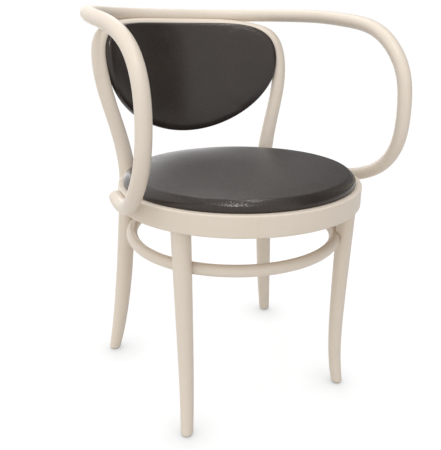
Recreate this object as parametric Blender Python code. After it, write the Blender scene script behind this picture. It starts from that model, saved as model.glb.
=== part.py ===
"""Bentwood armchair: bent rods round a seat ring, with an upholstered seat and back.

Metres, +Z up, the sitter faces -Y and the sitter's left is +X. Shapes are worked out about the
middle of the seat ring, and the parent empty then centres the chair over the floor.
"""
from math import acos, asin, cos, pi, radians, sin, sqrt, tau

import bmesh
import bpy
import numpy as np
from mathutils import Vector

# Gap kept between two pieces that touch.
CLEARANCE = 0.0003

# Seat ring: a bent hoop of nearly square section with a ledge for the seat board.
SEAT_RING_TOP = 0.450
SEAT_RING_RADIUS = 0.234
SEAT_RING_WIDTH = 0.038
SEAT_RING_HEIGHT = 0.037
SEAT_RING_ROUNDING = 0.003
SEAT_BOARD_LEDGE = 0.021
SEAT_BOARD_THICKNESS = 0.010

# Seat pad: its edge stands back from the ring's outer face and its top is slightly crowned.
SEAT_PAD_RIM = 0.0112
SEAT_PAD_SIDE_HEIGHT = 0.0205
SEAT_PAD_EDGE_INSET = 0.009
SEAT_PAD_BULGE = 0.0014
SEAT_PAD_CROWN = 0.005

# Front legs: tapered rods that draw in below the seat and flare at the foot.
FRONT_LEG_ANGLE = radians(-33.9)
FRONT_LEG_TOP_RADIUS = 0.0173
FRONT_LEG_FOOT_RADIUS = 0.0119
FRONT_LEG_TAPER_POWER = 1.2
FRONT_LEG_INSET = 0.0046
FRONT_LEG_DRAW_IN = 0.008
FRONT_LEG_FLARE = 0.0157
FRONT_LEG_TURN = 0.006
FRONT_LEG_FLARE_POWER = 6
TENON_RADIUS = 0.010
TENON_LENGTH = 0.020

# Back hoop: the rear legs, notched over the seat ring, run up into the frame of the back.
REAR_LEG_ANGLE = radians(47.1)
REAR_LEG_FOOT_RADIUS = 0.0130
REAR_LEG_CALF_RADIUS = 0.0178
REAR_LEG_SEAT_RADIUS = 0.0174
REAR_LEG_NOTCH = 0.0034
REAR_LEG_SPLAY = 0.0395
REAR_LEG_KICK = 0.0241
HOOP_RADIUS = 0.0150
HOOP_MID_HEIGHT = 0.540
HOOP_MID_HALF_WIDTH = 0.1860
HOOP_MID_BACK = 0.1790
HOOP_WIDEST_DROP = 0.077
HOOP_HALF_WIDTH = 0.2075
HOOP_SQUARENESS = 3.9

# Arm hoop: from the side of the seat ring, forwards and up in a C, back and round as one rail.
ARM_RADIUS = 0.0127
ARM_SEAT_DROP = 0.0164
ARM_SEAT_NOTCH = 0.0045
ARM_END_ANGLE = radians(9.4)
ARM_SEAT_ANGLE = radians(3.1)
ARM_FRONT_HALF_WIDTH = 0.2486
ARM_LOWER_SPREAD = (0.0005, 0.0062, 0.0042)
ARM_UPPER_SPREAD = (-0.0022, -0.0018, 0.0040)
ARM_FRONT_REACH = 0.1660
ARM_FRONT_HEIGHT = 0.584
ARM_BEND_TOP_BACK = 0.0865
ARM_BEND_TOP_HEIGHT = 0.744
ARM_BEND_ROUNDNESS = 2.6
ARM_ELBOW_HALF_WIDTH = 0.2573
ARM_ELBOW_BACK = 0.0203
ARM_LOWER_ROUNDNESS = 2.25
RAIL_POWERS = (2.6, 1.85)
RAIL_HEIGHT = 0.7565
RAIL_BACK = 0.3035

# The crest of the back hoop lies under and in front of the rail.
CREST_ANGLE = radians(57.0)
CREST_NOTCH = 0.001

# Back pad: a D-shaped panel bent round a raked cylinder, let into the front of the back hoop.
BACK_RADIUS = 0.2905
BACK_RAKE = 0.18
BACK_REBATE = 0.0035
BACK_PAD_SIDE_INSET = 0.0083
BACK_PAD_TOP_RISE = 0.0061
BACK_PAD_WIDEST_DROP = 0.0650
BACK_PAD_SEAT_GAP = 0.0345
BACK_PAD_CORNER_POWERS = (6.2, 2.4)
BACK_PAD_THICKNESS = 0.018
BACK_PAD_CROWN = 0.004
BACK_PAD_ROLL = 0.008
BACK_PAD_REAR_ROLL = 0.002
BACK_PAD_WRAP = 0.0035
BACK_BOARD_THICKNESS = 0.007

# Stretcher ring: let into all four legs.
STRETCHER_RADIUS = 0.0109
STRETCHER_HEIGHT = 0.3361
STRETCHER_CENTRE_BACK = 0.0214
STRETCHER_FRONT_NOTCH = 0.0090
STRETCHER_REAR_NOTCH = 0.0012

# Glides nailed under the feet.
GLIDE_RADIUS = 0.0092
GLIDE_HEIGHT = 0.004
GLIDE_NAIL_RADIUS = 0.0013
GLIDE_NAIL_LENGTH = 0.012

# Rear seat bolts with washer and nut, and the washers of the arm screws.
BOLT_RADIUS = 0.003
BOLT_HEAD_RADIUS = 0.0080
BOLT_HEAD_HEIGHT = 0.0032
BOLT_HEAD_SINK = 0.0024
BOLT_END = 0.002
WASHER_RADIUS = 0.0075
WASHER_THICKNESS = 0.0015
NUT_RADIUS = 0.0058
NUT_HEIGHT = 0.005

# Wood screws with countersunk heads.
SCREW_RADIUS = 0.0021
SCREW_HEAD_RADIUS = 0.0043
SCREW_HEAD_HEIGHT = 0.0024
SCREW_SINK = 0.0006
SCREW_BITE = 0.012
SEAT_SCREW_ANGLES = [radians(degrees) for degrees in (27, 153, -70, -110)]
BACK_SCREW_RISE = 0.006
BACK_SCREW_INSET = 0.0115
BACK_SCREW_HALF_SPREAD = 0.115
BACK_SCREW_BITE = 0.0045
RAIL_SCREW_HALF_SPREAD = 0.055

# How finely the curves are divided.
ROD_SIDES_LEVEL = 4
ROD_STEP = 0.045
ROD_TURN = radians(12)
RING_SEGMENTS = 56
PAD_SEGMENTS = 48
SCREW_SIDES = 8
BOLT_SIDES = 12
DENSE = 40

# Sizes that follow from the ones above.
SEAT_RING_BOTTOM = SEAT_RING_TOP - SEAT_RING_HEIGHT
SEAT_RING_INNER = SEAT_RING_RADIUS - SEAT_RING_WIDTH
SEAT_LEDGE_RADIUS = SEAT_RING_INNER + SEAT_BOARD_LEDGE
SEAT_LEDGE_HEIGHT = SEAT_RING_TOP - SEAT_BOARD_THICKNESS - CLEARANCE
SEAT_BOLT_HEIGHT = SEAT_RING_TOP - SEAT_BOARD_THICKNESS - BOLT_HEAD_RADIUS - 2 * CLEARANCE
ARM_SEAT_HEIGHT = SEAT_RING_TOP - ARM_SEAT_DROP
ARM_SEAT_REACH = SEAT_RING_RADIUS + ARM_RADIUS - ARM_SEAT_NOTCH
REAR_LEG_SEAT_REACH = SEAT_RING_RADIUS + REAR_LEG_SEAT_RADIUS - REAR_LEG_NOTCH
CREST_GAP = ARM_RADIUS + HOOP_RADIUS - CREST_NOTCH
CREST_HEIGHT = RAIL_HEIGHT - CREST_GAP * sin(CREST_ANGLE)
CREST_BACK = RAIL_BACK - CREST_GAP * cos(CREST_ANGLE)
HOOP_FACE = HOOP_RADIUS - BACK_REBATE
FOOT_HEIGHT = GLIDE_HEIGHT + CLEARANCE
BACK_PAD_TOP = CREST_HEIGHT + BACK_PAD_TOP_RISE
BACK_PAD_WIDEST_HEIGHT = CREST_HEIGHT - BACK_PAD_WIDEST_DROP
BACK_PAD_BOTTOM = SEAT_RING_TOP + SEAT_PAD_SIDE_HEIGHT + SEAT_PAD_CROWN + BACK_PAD_SEAT_GAP
HOOP_WIDEST_HEIGHT = CREST_HEIGHT - HOOP_WIDEST_DROP
BACK_PAD_HALF_WIDTH = HOOP_HALF_WIDTH - BACK_PAD_SIDE_INSET
CHAIR_SHIFT = (SEAT_RING_RADIUS - RAIL_BACK - ARM_RADIUS) / 2


def clear_scene():
    for old in list(bpy.data.objects):
        bpy.data.objects.remove(old)


def finish(name, colour, roughness, metallic=0.0):
    material = bpy.data.materials.new(name)
    material.use_nodes = True
    shader = material.node_tree.nodes["Principled BSDF"]
    shader.inputs["Base Color"].default_value = (*colour, 1.0)
    shader.inputs["Roughness"].default_value = roughness
    shader.inputs["Metallic"].default_value = metallic
    return material


clear_scene()
CHAIR = bpy.data.objects.new("chair", None)
CHAIR.location.y = CHAIR_SHIFT
bpy.context.scene.collection.objects.link(CHAIR)

BEECH = finish("stained_beech", (0.70, 0.61, 0.52), 0.45)
PLYWOOD = finish("birch_plywood", (0.55, 0.40, 0.24), 0.6)
LEATHER = finish("dark_leather", (0.045, 0.040, 0.037), 0.42)
STEEL = finish("zinc_steel", (0.55, 0.55, 0.56), 0.35, 1.0)
NYLON = finish("pale_nylon", (0.62, 0.58, 0.52), 0.5)


def add(name, mesh, material=None):
    """A named piece under the chair's empty; a piece with no material is a hidden cutter."""
    piece = bpy.data.objects.new(name, mesh)
    piece.parent = CHAIR
    bpy.context.scene.collection.objects.link(piece)
    if material:
        mesh.materials.append(material)
        mesh.shade_smooth()
        mesh.set_sharp_from_angle(angle=radians(40))
    else:
        piece.hide_render = True
        piece.display_type = "WIRE"
    return piece


def cut(piece, *cutters):
    for cutter in cutters:
        boolean = piece.modifiers.new(cutter.name, "BOOLEAN")
        boolean.operation = "DIFFERENCE"
        boolean.solver = "EXACT"
        boolean.object = cutter


def aim(piece, point, direction):
    """Place a turned piece with its origin at the point and its +Z along the direction."""
    piece.location = point
    piece.rotation_mode = "QUATERNION"
    piece.rotation_quaternion = Vector(direction).to_track_quat("Z", "Y")
    return piece


def polar(reach, angle, height):
    return np.array([reach * cos(angle), reach * sin(angle), height])


def spaced(curve, count=None):
    """Points along a dense curve, closer together where it bends more."""
    chords = np.diff(curve[:, :3], axis=0)
    lengths = np.linalg.norm(chords, axis=1)
    headings = chords / lengths[:, None]
    bends = np.arccos(np.clip(np.sum(headings[1:] * headings[:-1], axis=1), -1, 1))
    effort = lengths / ROD_STEP + np.concatenate([[0.0], bends]) / ROD_TURN
    place = np.concatenate([[0.0], np.cumsum(effort)])
    count = count or int(round(place[-1])) + 1
    target = np.linspace(0.0, place[-1], count)
    return np.stack([np.interp(target, place, column) for column in curve.T], axis=1)


def smooth(stations):
    """Natural cubic spline through the stations, whose columns are x, y, z and rod radius."""
    knots = np.array(stations, float)
    span = np.linalg.norm(np.diff(knots[:, :3], axis=0), axis=1)
    slope = np.diff(knots, axis=0) / span[:, None]
    system = np.eye(len(knots))
    right = np.zeros_like(knots)
    for i in range(1, len(knots) - 1):
        system[i, i - 1:i + 2] = span[i - 1], 2 * (span[i - 1] + span[i]), span[i]
        right[i] = 6 * (slope[i] - slope[i - 1])
    bend = np.linalg.solve(system, right)
    part = np.linspace(0, 1, DENSE, endpoint=False)[None, :, None]
    start, end = bend[:-1, None], bend[1:, None]
    lift = (2 * start + end) * (1 - part) - (start - end) * (part - part ** 2)
    curve = knots[:-1, None] * (1 - part) + knots[1:, None] * part
    curve = curve - lift * part * span[:, None, None] ** 2 / 6
    return spaced(np.concatenate([curve.reshape(-1, 4), knots[-1:]]))


def both_sides(half):
    """A path from the +X end to the middle, carried on to the -X end."""
    half = np.asarray(half, float)
    return np.concatenate([half, half[-2::-1] * [-1, 1, 1, 1]])


def rod_mesh(name, path, grow=0.0, closed=False):
    """A round rod along a path whose fourth column is its radius."""
    curve = bpy.data.curves.new(name, "CURVE")
    curve.dimensions = "3D"
    curve.bevel_depth = 1.0
    curve.bevel_resolution = ROD_SIDES_LEVEL
    curve.use_fill_caps = not closed
    spline = curve.splines.new("POLY")
    spline.points.add(len(path) - 1)
    spline.points.foreach_set("co", np.column_stack([path[:, :3], np.ones(len(path))]).ravel())
    spline.points.foreach_set("radius", path[:, 3] + grow)
    spline.use_cyclic_u = closed
    holder = bpy.data.objects.new(name, curve)
    mesh = bpy.data.meshes.new_from_object(holder)
    bpy.data.objects.remove(holder)
    shape = bmesh.new()
    shape.from_mesh(mesh)
    bmesh.ops.remove_doubles(shape, verts=shape.verts, dist=1e-6)
    bmesh.ops.recalc_face_normals(shape, faces=shape.faces)
    shape.to_mesh(mesh)
    shape.free()
    mesh.name = name
    mesh.materials.clear()
    return mesh


def level_feet(mesh):
    """Cut the rod off flat where the glides meet it."""
    shape = bmesh.new()
    shape.from_mesh(mesh)
    everything = [*shape.verts, *shape.edges, *shape.faces]
    bmesh.ops.bisect_plane(shape, geom=everything, plane_co=(0, 0, FOOT_HEIGHT),
                           plane_no=(0, 0, 1), clear_inner=True)
    rim = [edge for edge in shape.edges if edge.is_boundary]
    bmesh.ops.holes_fill(shape, edges=rim)
    bmesh.ops.recalc_face_normals(shape, faces=shape.faces)
    shape.to_mesh(mesh)
    shape.free()
    return mesh


def turned_mesh(name, profile, sides, closed=False):
    """A profile of (radius, height) points spun about Z."""
    shape = bmesh.new()
    points = [shape.verts.new((radius, 0.0, height)) for radius, height in profile]
    edges = [shape.edges.new(pair) for pair in zip(points, points[1:])]
    if closed:
        edges.append(shape.edges.new((points[-1], points[0])))
    bmesh.ops.spin(shape, geom=points + edges, cent=(0, 0, 0), axis=(0, 0, 1),
                   angle=tau, steps=sides, use_merge=True)
    bmesh.ops.remove_doubles(shape, verts=shape.verts, dist=1e-6)
    bmesh.ops.recalc_face_normals(shape, faces=shape.faces)
    mesh = bpy.data.meshes.new(name)
    shape.to_mesh(mesh)
    shape.free()
    return mesh


def loops_mesh(name, loops):
    """A closed body from point loops; the first and the last loop are single points."""
    count = len(loops[1])
    verts = np.concatenate([np.reshape(loop, (-1, 3)) for loop in loops])
    last = len(verts) - 1
    faces = []
    for k in range(count):
        after = (k + 1) % count
        faces.append((0, 1 + k, 1 + after))
        faces.append((last, last - count + after, last - count + k))
        for ring in range(len(loops) - 3):
            low = 1 + ring * count
            faces.append((low + k, low + count + k, low + count + after))
            faces.append((low + k, low + count + after, low + after))
    mesh = bpy.data.meshes.new(name)
    mesh.from_pydata(verts.tolist(), [], faces)
    shape = bmesh.new()
    shape.from_mesh(mesh)
    bmesh.ops.recalc_face_normals(shape, faces=shape.faces)
    shape.to_mesh(mesh)
    shape.free()
    return mesh


# Seat ring, board and pad.
def seat_ring():
    edge = SEAT_RING_ROUNDING
    outer, inner = SEAT_RING_RADIUS, SEAT_RING_INNER
    top, bottom = SEAT_RING_TOP, SEAT_RING_BOTTOM
    corner = edge * (1 - sqrt(0.5))
    profile = [
        (SEAT_LEDGE_RADIUS, SEAT_LEDGE_HEIGHT), (SEAT_LEDGE_RADIUS, top),
        (outer - edge, top), (outer - corner, top - corner), (outer, top - edge),
        (outer, bottom + edge), (outer - corner, bottom + corner), (outer - edge, bottom),
        (inner + edge, bottom), (inner, bottom + edge), (inner, SEAT_LEDGE_HEIGHT)]
    return add("seat_ring", turned_mesh("seat_ring", profile, RING_SEGMENTS, closed=True), BEECH)


def seat_ring_cutter():
    """The ring's outer cylinder, a clearance larger, for what is notched over it."""
    reach = SEAT_RING_RADIUS + CLEARANCE
    low, high = SEAT_RING_BOTTOM - CLEARANCE, SEAT_RING_TOP + CLEARANCE
    profile = [(0, low), (reach, low), (reach, high), (0, high)]
    return add("seat_ring_cutter", turned_mesh("seat_ring_cutter", profile, RING_SEGMENTS))


def seat_board():
    reach = SEAT_LEDGE_RADIUS - CLEARANCE
    low, high = SEAT_RING_TOP - SEAT_BOARD_THICKNESS, SEAT_RING_TOP
    profile = [(0, low), (reach, low), (reach, high), (0, high)]
    return add("seat_board", turned_mesh("seat_board", profile, RING_SEGMENTS), PLYWOOD)


def seat_pad():
    foot = SEAT_RING_TOP + CLEARANCE
    reach = SEAT_RING_RADIUS - SEAT_PAD_RIM
    height = SEAT_PAD_SIDE_HEIGHT - CLEARANCE
    profile = [(0, foot), (reach / 2, foot), (reach, foot)]
    for part in (0.2, 0.4, 0.6, 0.8, 1.0):
        lean = SEAT_PAD_EDGE_INSET * part ** 3
        swell = SEAT_PAD_BULGE * sin(pi * part)
        profile.append((reach - lean + swell, foot + height * part))
    edge = reach - SEAT_PAD_EDGE_INSET
    for part in (0.93, 0.8, 0.6, 0.35, 0.0):
        profile.append((edge * part, foot + height + SEAT_PAD_CROWN * (1 - part ** 2)))
    return add("seat_pad", turned_mesh("seat_pad", profile, PAD_SEGMENTS), LEATHER)


# Front legs.
def front_leg_axis(height):
    """Centre of the +X front leg at a height, with the leg's radius as fourth value."""
    drop = 1 - height / SEAT_RING_BOTTOM
    flare = max(drop, 0.0) ** FRONT_LEG_FLARE_POWER
    reach = SEAT_RING_RADIUS - FRONT_LEG_INSET - FRONT_LEG_TOP_RADIUS
    reach += FRONT_LEG_FLARE * flare - FRONT_LEG_DRAW_IN * drop
    along = np.array([cos(FRONT_LEG_ANGLE), sin(FRONT_LEG_ANGLE)])
    across = np.array([along[1], -along[0]])
    spot = along * reach + across * FRONT_LEG_TURN * flare
    taper = (FRONT_LEG_TOP_RADIUS - FRONT_LEG_FOOT_RADIUS) * max(drop, 0.0) ** FRONT_LEG_TAPER_POWER
    return np.array([*spot, height, FRONT_LEG_TOP_RADIUS - taper])


def front_leg(side, name):
    """A leg with its tenon; the shoulder butts against the underside of the seat ring."""
    shoulder = SEAT_RING_BOTTOM - CLEARANCE
    below_floor = -FOOT_HEIGHT
    path = [front_leg_axis(height) for height in np.linspace(below_floor, shoulder, 22)]
    for height in (SEAT_RING_BOTTOM, SEAT_RING_BOTTOM + TENON_LENGTH):
        path.append([*path[-1][:2], height, TENON_RADIUS])
    path = np.array(path) * [side, 1, 1, 1]
    return add(name, level_feet(rod_mesh(name, path)), BEECH)


def tenon_socket(side, name):
    top = front_leg_axis(SEAT_RING_BOTTOM - CLEARANCE)
    depth = TENON_LENGTH + CLEARANCE
    ends = (SEAT_RING_BOTTOM - depth, SEAT_RING_BOTTOM + depth)
    path = np.array([[side * top[0], top[1], height, TENON_RADIUS + CLEARANCE] for height in ends])
    return add(name, rod_mesh(name, path))


# Back surface, back hoop and arm hoop.
def back_surface(across, height, depth):
    """A point on the raked cylinder of the back: depth counts from its rear face to the sitter."""
    axis_back = CREST_BACK - HOOP_FACE - BACK_RADIUS + BACK_RAKE * (height - CREST_HEIGHT)
    turn = asin(across / BACK_RADIUS)
    reach = BACK_RADIUS - depth
    return np.array([reach * sin(turn), axis_back + reach * cos(turn), height])


def hoop_top(turn):
    """Centre of the upper back hoop, from its widest place (0) to its crest (a right angle)."""
    power = 2 / HOOP_SQUARENESS
    across = HOOP_HALF_WIDTH * max(cos(turn), 0.0) ** power
    height = HOOP_WIDEST_HEIGHT + (CREST_HEIGHT - HOOP_WIDEST_HEIGHT) * sin(turn) ** power
    on_face = across * BACK_RADIUS / (BACK_RADIUS + HOOP_FACE)
    return np.array([*back_surface(on_face, height, -HOOP_FACE), HOOP_RADIUS])


def rear_leg_axis(height):
    drop = 1 - height / SEAT_BOLT_HEIGHT
    reach = REAR_LEG_SEAT_REACH + REAR_LEG_SPLAY * drop + REAR_LEG_KICK * drop ** 3
    swell = min(drop / 0.5, 1.0)
    radius = REAR_LEG_SEAT_RADIUS + (REAR_LEG_CALF_RADIUS - REAR_LEG_SEAT_RADIUS) * swell
    thin = max(2 * drop - 1, 0.0)
    radius += (REAR_LEG_FOOT_RADIUS - REAR_LEG_CALF_RADIUS) * thin ** 1.5
    return np.array([*polar(reach, REAR_LEG_ANGLE, height), radius])


def hoop_path():
    below_floor = -2 * FOOT_HEIGHT
    legs = [rear_leg_axis(height) for height in np.linspace(below_floor, SEAT_BOLT_HEIGHT, 6)]
    middle = [[HOOP_MID_HALF_WIDTH, HOOP_MID_BACK, HOOP_MID_HEIGHT, HOOP_RADIUS]]
    top = [hoop_top(radians(turn)) for turn in (0, 28, 48, 66, 80, 90)]
    return smooth(both_sides(legs + middle + top))


def arm_lower_bend(turn, spread):
    """From the seat ring (a right angle) forwards and up to the front of the arm (0)."""
    power = 2 / ARM_LOWER_ROUNDNESS
    seat = polar(ARM_SEAT_REACH, ARM_SEAT_ANGLE, ARM_SEAT_HEIGHT)
    back = seat[1] - (seat[1] + ARM_FRONT_REACH) * cos(turn) ** power
    height = ARM_FRONT_HEIGHT - (ARM_FRONT_HEIGHT - seat[2]) * sin(turn) ** power
    return [ARM_FRONT_HALF_WIDTH + spread, back, height]


def arm_upper_bend(part, spread):
    """From the front of the arm (0) up and back to its elbow (1)."""
    length = ARM_BEND_TOP_BACK + ARM_FRONT_REACH
    short_of_top = (ARM_BEND_TOP_BACK - ARM_ELBOW_BACK) / length
    turn = part * acos(short_of_top ** (ARM_BEND_ROUNDNESS / 2))
    power = 2 / ARM_BEND_ROUNDNESS
    back = ARM_BEND_TOP_BACK - length * cos(turn) ** power
    height = ARM_FRONT_HEIGHT + (ARM_BEND_TOP_HEIGHT - ARM_FRONT_HEIGHT) * sin(turn) ** power
    return [ARM_FRONT_HALF_WIDTH + spread, back, height]


def arm_rail(turn, elbow_height):
    """From the elbow (0) round the side to the middle of the rail (a right angle)."""
    side_power, back_power = (2 / power for power in RAIL_POWERS)
    rise = 1 - (1 - turn / (pi / 2)) ** 4
    return [ARM_ELBOW_HALF_WIDTH * max(cos(turn), 0.0) ** side_power,
            ARM_ELBOW_BACK + (RAIL_BACK - ARM_ELBOW_BACK) * sin(turn) ** back_power,
            elbow_height + (RAIL_HEIGHT - elbow_height) * rise]


def arm_path():
    """From the end against the seat ring, round the front bend and the elbow, to the rail."""
    along_ring = np.linspace(ARM_END_ANGLE, ARM_SEAT_ANGLE, 3)
    half = [list(polar(ARM_SEAT_REACH, angle, ARM_SEAT_HEIGHT)) for angle in along_ring]
    lower, upper = (radians(68), radians(45), radians(22)), (0.25, 0.5, 0.75)
    half += [arm_lower_bend(*station) for station in zip(lower, ARM_LOWER_SPREAD)]
    half.append(arm_lower_bend(0.0, 0.0))
    half += [arm_upper_bend(*station) for station in zip(upper, ARM_UPPER_SPREAD)]
    elbow = arm_upper_bend(1.0, ARM_ELBOW_HALF_WIDTH - ARM_FRONT_HALF_WIDTH)
    half.append(elbow)
    half += [arm_rail(radians(turn), elbow[2]) for turn in (15, 32, 50, 68, 80, 90)]
    path = smooth(both_sides(np.column_stack([half, np.full(len(half), ARM_RADIUS)])))
    return np.concatenate([rounded_end(path[0], path[1]), path, rounded_end(path[-1], path[-2])[::-1]])


def rounded_end(tip, before):
    """Two more points beyond the tip of a rod, where it closes like a half ball."""
    outward = (tip - before)[:3] / np.linalg.norm((tip - before)[:3])
    return [[*(tip[:3] + outward * tip[3] * sin(turn)), tip[3] * cos(turn)]
            for turn in (radians(72), radians(40))]


def point_at(path, column, value):
    """Point of the +X half of a path where one coordinate has a value that it takes only once."""
    half = path[:len(path) // 2 + 1]
    order = np.argsort(half[:, column])
    return np.array([np.interp(value, half[order, column], half[order, k]) for k in range(4)])


# Back pad and its board.
def back_outline(inset):
    """The D outline as (across, height) points, drawn in by an inset."""
    wide = BACK_PAD_HALF_WIDTH - inset
    rise = BACK_PAD_TOP - inset - BACK_PAD_WIDEST_HEIGHT
    fall = BACK_PAD_WIDEST_HEIGHT - BACK_PAD_BOTTOM - inset
    turn = np.linspace(0, pi / 2, 16 * DENSE)
    side_power, top_power = (2 / power for power in BACK_PAD_CORNER_POWERS)
    top = np.column_stack([wide * np.cos(turn) ** side_power, rise * np.sin(turn) ** top_power])
    low = np.column_stack([wide * np.cos(turn), -fall * np.sin(turn)])
    top[-1, 0] = low[-1, 0] = 0.0
    half = np.concatenate([low[::-1], top[1:]])
    return np.concatenate([half, (half * [-1, 1])[-2::-1]])


def back_loop(scale, inset, depth):
    """The outline shrunk about its widest height and laid on the back surface."""
    outline = spaced(back_outline(inset), PAD_SEGMENTS + 1)[:-1]
    return [back_surface(x * scale, BACK_PAD_WIDEST_HEIGHT + z * scale, depth) for x, z in outline]


def back_middle(depth):
    return back_surface(0.0, BACK_PAD_WIDEST_HEIGHT, depth)


def back_pad():
    """Crowned front, rolled edge, and a recess in the rear face that holds the board."""
    face = BACK_PAD_THICKNESS
    loops = [back_middle(face + BACK_PAD_CROWN)]
    for scale in (0.3, 0.6, 0.82):
        loops.append(back_loop(scale, BACK_PAD_ROLL, face + BACK_PAD_CROWN * (1 - scale ** 2)))
    for turn in (radians(degrees) for degrees in (90, 60, 30, 0)):
        inset = BACK_PAD_ROLL * (1 - cos(turn))
        loops.append(back_loop(1.0, inset, face - BACK_PAD_ROLL * (1 - sin(turn))))
    recess = BACK_PAD_WRAP - CLEARANCE
    floor = BACK_BOARD_THICKNESS + CLEARANCE
    loops.append(back_loop(1.0, 0.0, BACK_PAD_REAR_ROLL))
    loops.append(back_loop(1.0, BACK_PAD_REAR_ROLL, 0.0))
    loops.append(back_loop(1.0, recess, 0.0))
    loops.append(back_loop(1.0, recess, floor))
    loops += back_face(floor)[:2][::-1]
    loops.append(back_middle(floor))
    return add("back_pad", loops_mesh("back_pad", loops[::-1]), LEATHER)


def back_face(depth):
    """Inner loops shared by all that meets on one bent face, so that its facets agree."""
    return [back_loop(scale, BACK_PAD_WRAP, depth) for scale in (0.4, 0.75, 1.0)]


def back_board_slab():
    front, rear = back_face(BACK_BOARD_THICKNESS), back_face(0.0)
    loops = [back_middle(BACK_BOARD_THICKNESS), *front, *rear[::-1], back_middle(0.0)]
    return add("back_board", loops_mesh("back_board", loops), PLYWOOD)


def pad_space_cutter():
    """The room that pad and board take up in the back hoop."""
    rear, front = -CLEARANCE, 2 * BACK_PAD_THICKNESS
    rim = [back_loop(1.0, -CLEARANCE, front), back_loop(1.0, -CLEARANCE, rear)]
    loops = [back_middle(front), *back_face(front), *rim, *back_face(rear)[::-1], back_middle(rear)]
    return add("pad_space", loops_mesh("pad_space", loops))


# Stretcher ring.
def stretcher_path():
    """Front half round, rear half drawn out so that the ring meets the rear legs too."""
    centre = np.array([0.0, STRETCHER_CENTRE_BACK])
    front = front_leg_axis(STRETCHER_HEIGHT)
    rear = rear_leg_axis(STRETCHER_HEIGHT)
    front_reach = np.linalg.norm(front[:2] - centre)
    half_width = front_reach - front[3] - STRETCHER_RADIUS + STRETCHER_FRONT_NOTCH
    toward = rear[:2] - centre
    distance = np.linalg.norm(toward)
    meet = toward / distance * (distance - rear[3] - STRETCHER_RADIUS + STRETCHER_REAR_NOTCH)
    half_depth = meet[1] / sqrt(1 - (meet[0] / half_width) ** 2)
    path = []
    for turn in np.linspace(0, tau, RING_SEGMENTS, endpoint=False):
        depth = half_depth if sin(turn) > 0 else half_width
        path.append([half_width * cos(turn), centre[1] + depth * sin(turn),
                     STRETCHER_HEIGHT, STRETCHER_RADIUS])
    return np.array(path)


# Fasteners: turned pieces whose +Z points the way they are driven, head face at the origin.
def screw_profile(length, grow=0.0):
    shank, head = SCREW_RADIUS + grow, SCREW_HEAD_RADIUS + grow
    tip = length - 2 * SCREW_RADIUS
    return [(0, 0), (head, 0), (shank, SCREW_HEAD_HEIGHT + grow), (shank, tip), (0, length + grow)]


def screw(name, point, direction, length, *hosts):
    """A countersunk screw, and the hole for it in each piece that it passes through."""
    mesh = turned_mesh(name, screw_profile(length), SCREW_SIDES)
    piece = aim(add(name, mesh, STEEL), point, direction)
    outside = [(0, -SCREW_HEAD_RADIUS), (SCREW_HEAD_RADIUS + CLEARANCE, -SCREW_HEAD_RADIUS)]
    profile = outside + screw_profile(length, CLEARANCE)[1:]
    hole_name = name + "_hole"
    hole = aim(add(hole_name, turned_mesh(hole_name, profile, SCREW_SIDES)), point, direction)
    for host in hosts:
        cut(host, hole)
    return piece


def washer(name, point, direction):
    bore = BOLT_RADIUS + CLEARANCE
    profile = [(bore, 0), (WASHER_RADIUS, 0), (WASHER_RADIUS, WASHER_THICKNESS),
               (bore, WASHER_THICKNESS)]
    return aim(add(name, turned_mesh(name, profile, BOLT_SIDES, closed=True), STEEL), point, direction)


def nut(name, point, direction):
    bore = BOLT_RADIUS + CLEARANCE
    blank = turned_mesh(name, [(0, 0), (NUT_RADIUS, 0), (NUT_RADIUS, NUT_HEIGHT), (0, NUT_HEIGHT)], 6)
    piece = aim(add(name, blank, STEEL), point, direction)
    drill = [(0, -NUT_HEIGHT), (bore, -NUT_HEIGHT), (bore, 2 * NUT_HEIGHT), (0, 2 * NUT_HEIGHT)]
    bore_name = name + "_bore"
    cut(piece, aim(add(bore_name, turned_mesh(bore_name, drill, BOLT_SIDES)), point, direction))
    return piece


def bolt(name, point, direction, length, *hosts):
    """A round-headed bolt whose head lies in a shallow counterbore."""
    head, shank = BOLT_HEAD_RADIUS, BOLT_RADIUS
    dome = [(0, -BOLT_HEAD_HEIGHT), (0.6 * head, -0.8 * BOLT_HEAD_HEIGHT), (head, -0.2 * BOLT_HEAD_HEIGHT)]
    profile = dome + [(head, 0), (shank, 0), (shank, length), (0, length)]
    piece = aim(add(name, turned_mesh(name, profile, BOLT_SIDES), STEEL), point, direction)
    wide, bore, above = head + CLEARANCE, shank + CLEARANCE, -2 * head
    drill = [(0, above), (wide, above), (wide, CLEARANCE), (bore, CLEARANCE),
             (bore, length + CLEARANCE), (0, length + CLEARANCE)]
    hole_name = name + "_hole"
    hole = aim(add(hole_name, turned_mesh(hole_name, drill, BOLT_SIDES)), point, direction)
    for host in hosts:
        cut(host, hole)
    return piece


def glide(name, foot, leg):
    """A nail-in disc under a foot."""
    soft = GLIDE_HEIGHT / 4
    nail_top = GLIDE_HEIGHT + GLIDE_NAIL_LENGTH
    profile = [(0, 0), (GLIDE_RADIUS - soft, 0), (GLIDE_RADIUS, soft), (GLIDE_RADIUS, GLIDE_HEIGHT),
               (GLIDE_NAIL_RADIUS, GLIDE_HEIGHT), (GLIDE_NAIL_RADIUS, nail_top), (0, nail_top)]
    piece = add(name, turned_mesh(name, profile, BOLT_SIDES), NYLON)
    piece.location = (foot[0], foot[1], 0)
    bore, depth = GLIDE_NAIL_RADIUS + CLEARANCE, nail_top + CLEARANCE
    drill = [(0, 0), (bore, 0), (bore, depth), (0, depth)]
    hole = add(name + "_hole", turned_mesh(name + "_hole", drill, SCREW_SIDES))
    hole.location = piece.location
    cut(leg, hole)
    return piece


# Assembly of the frame.
SIDES = (("left", 1), ("right", -1))
ring = seat_ring()
ring_cutter = seat_ring_cutter()
board = seat_board()
seat_pad()

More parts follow.
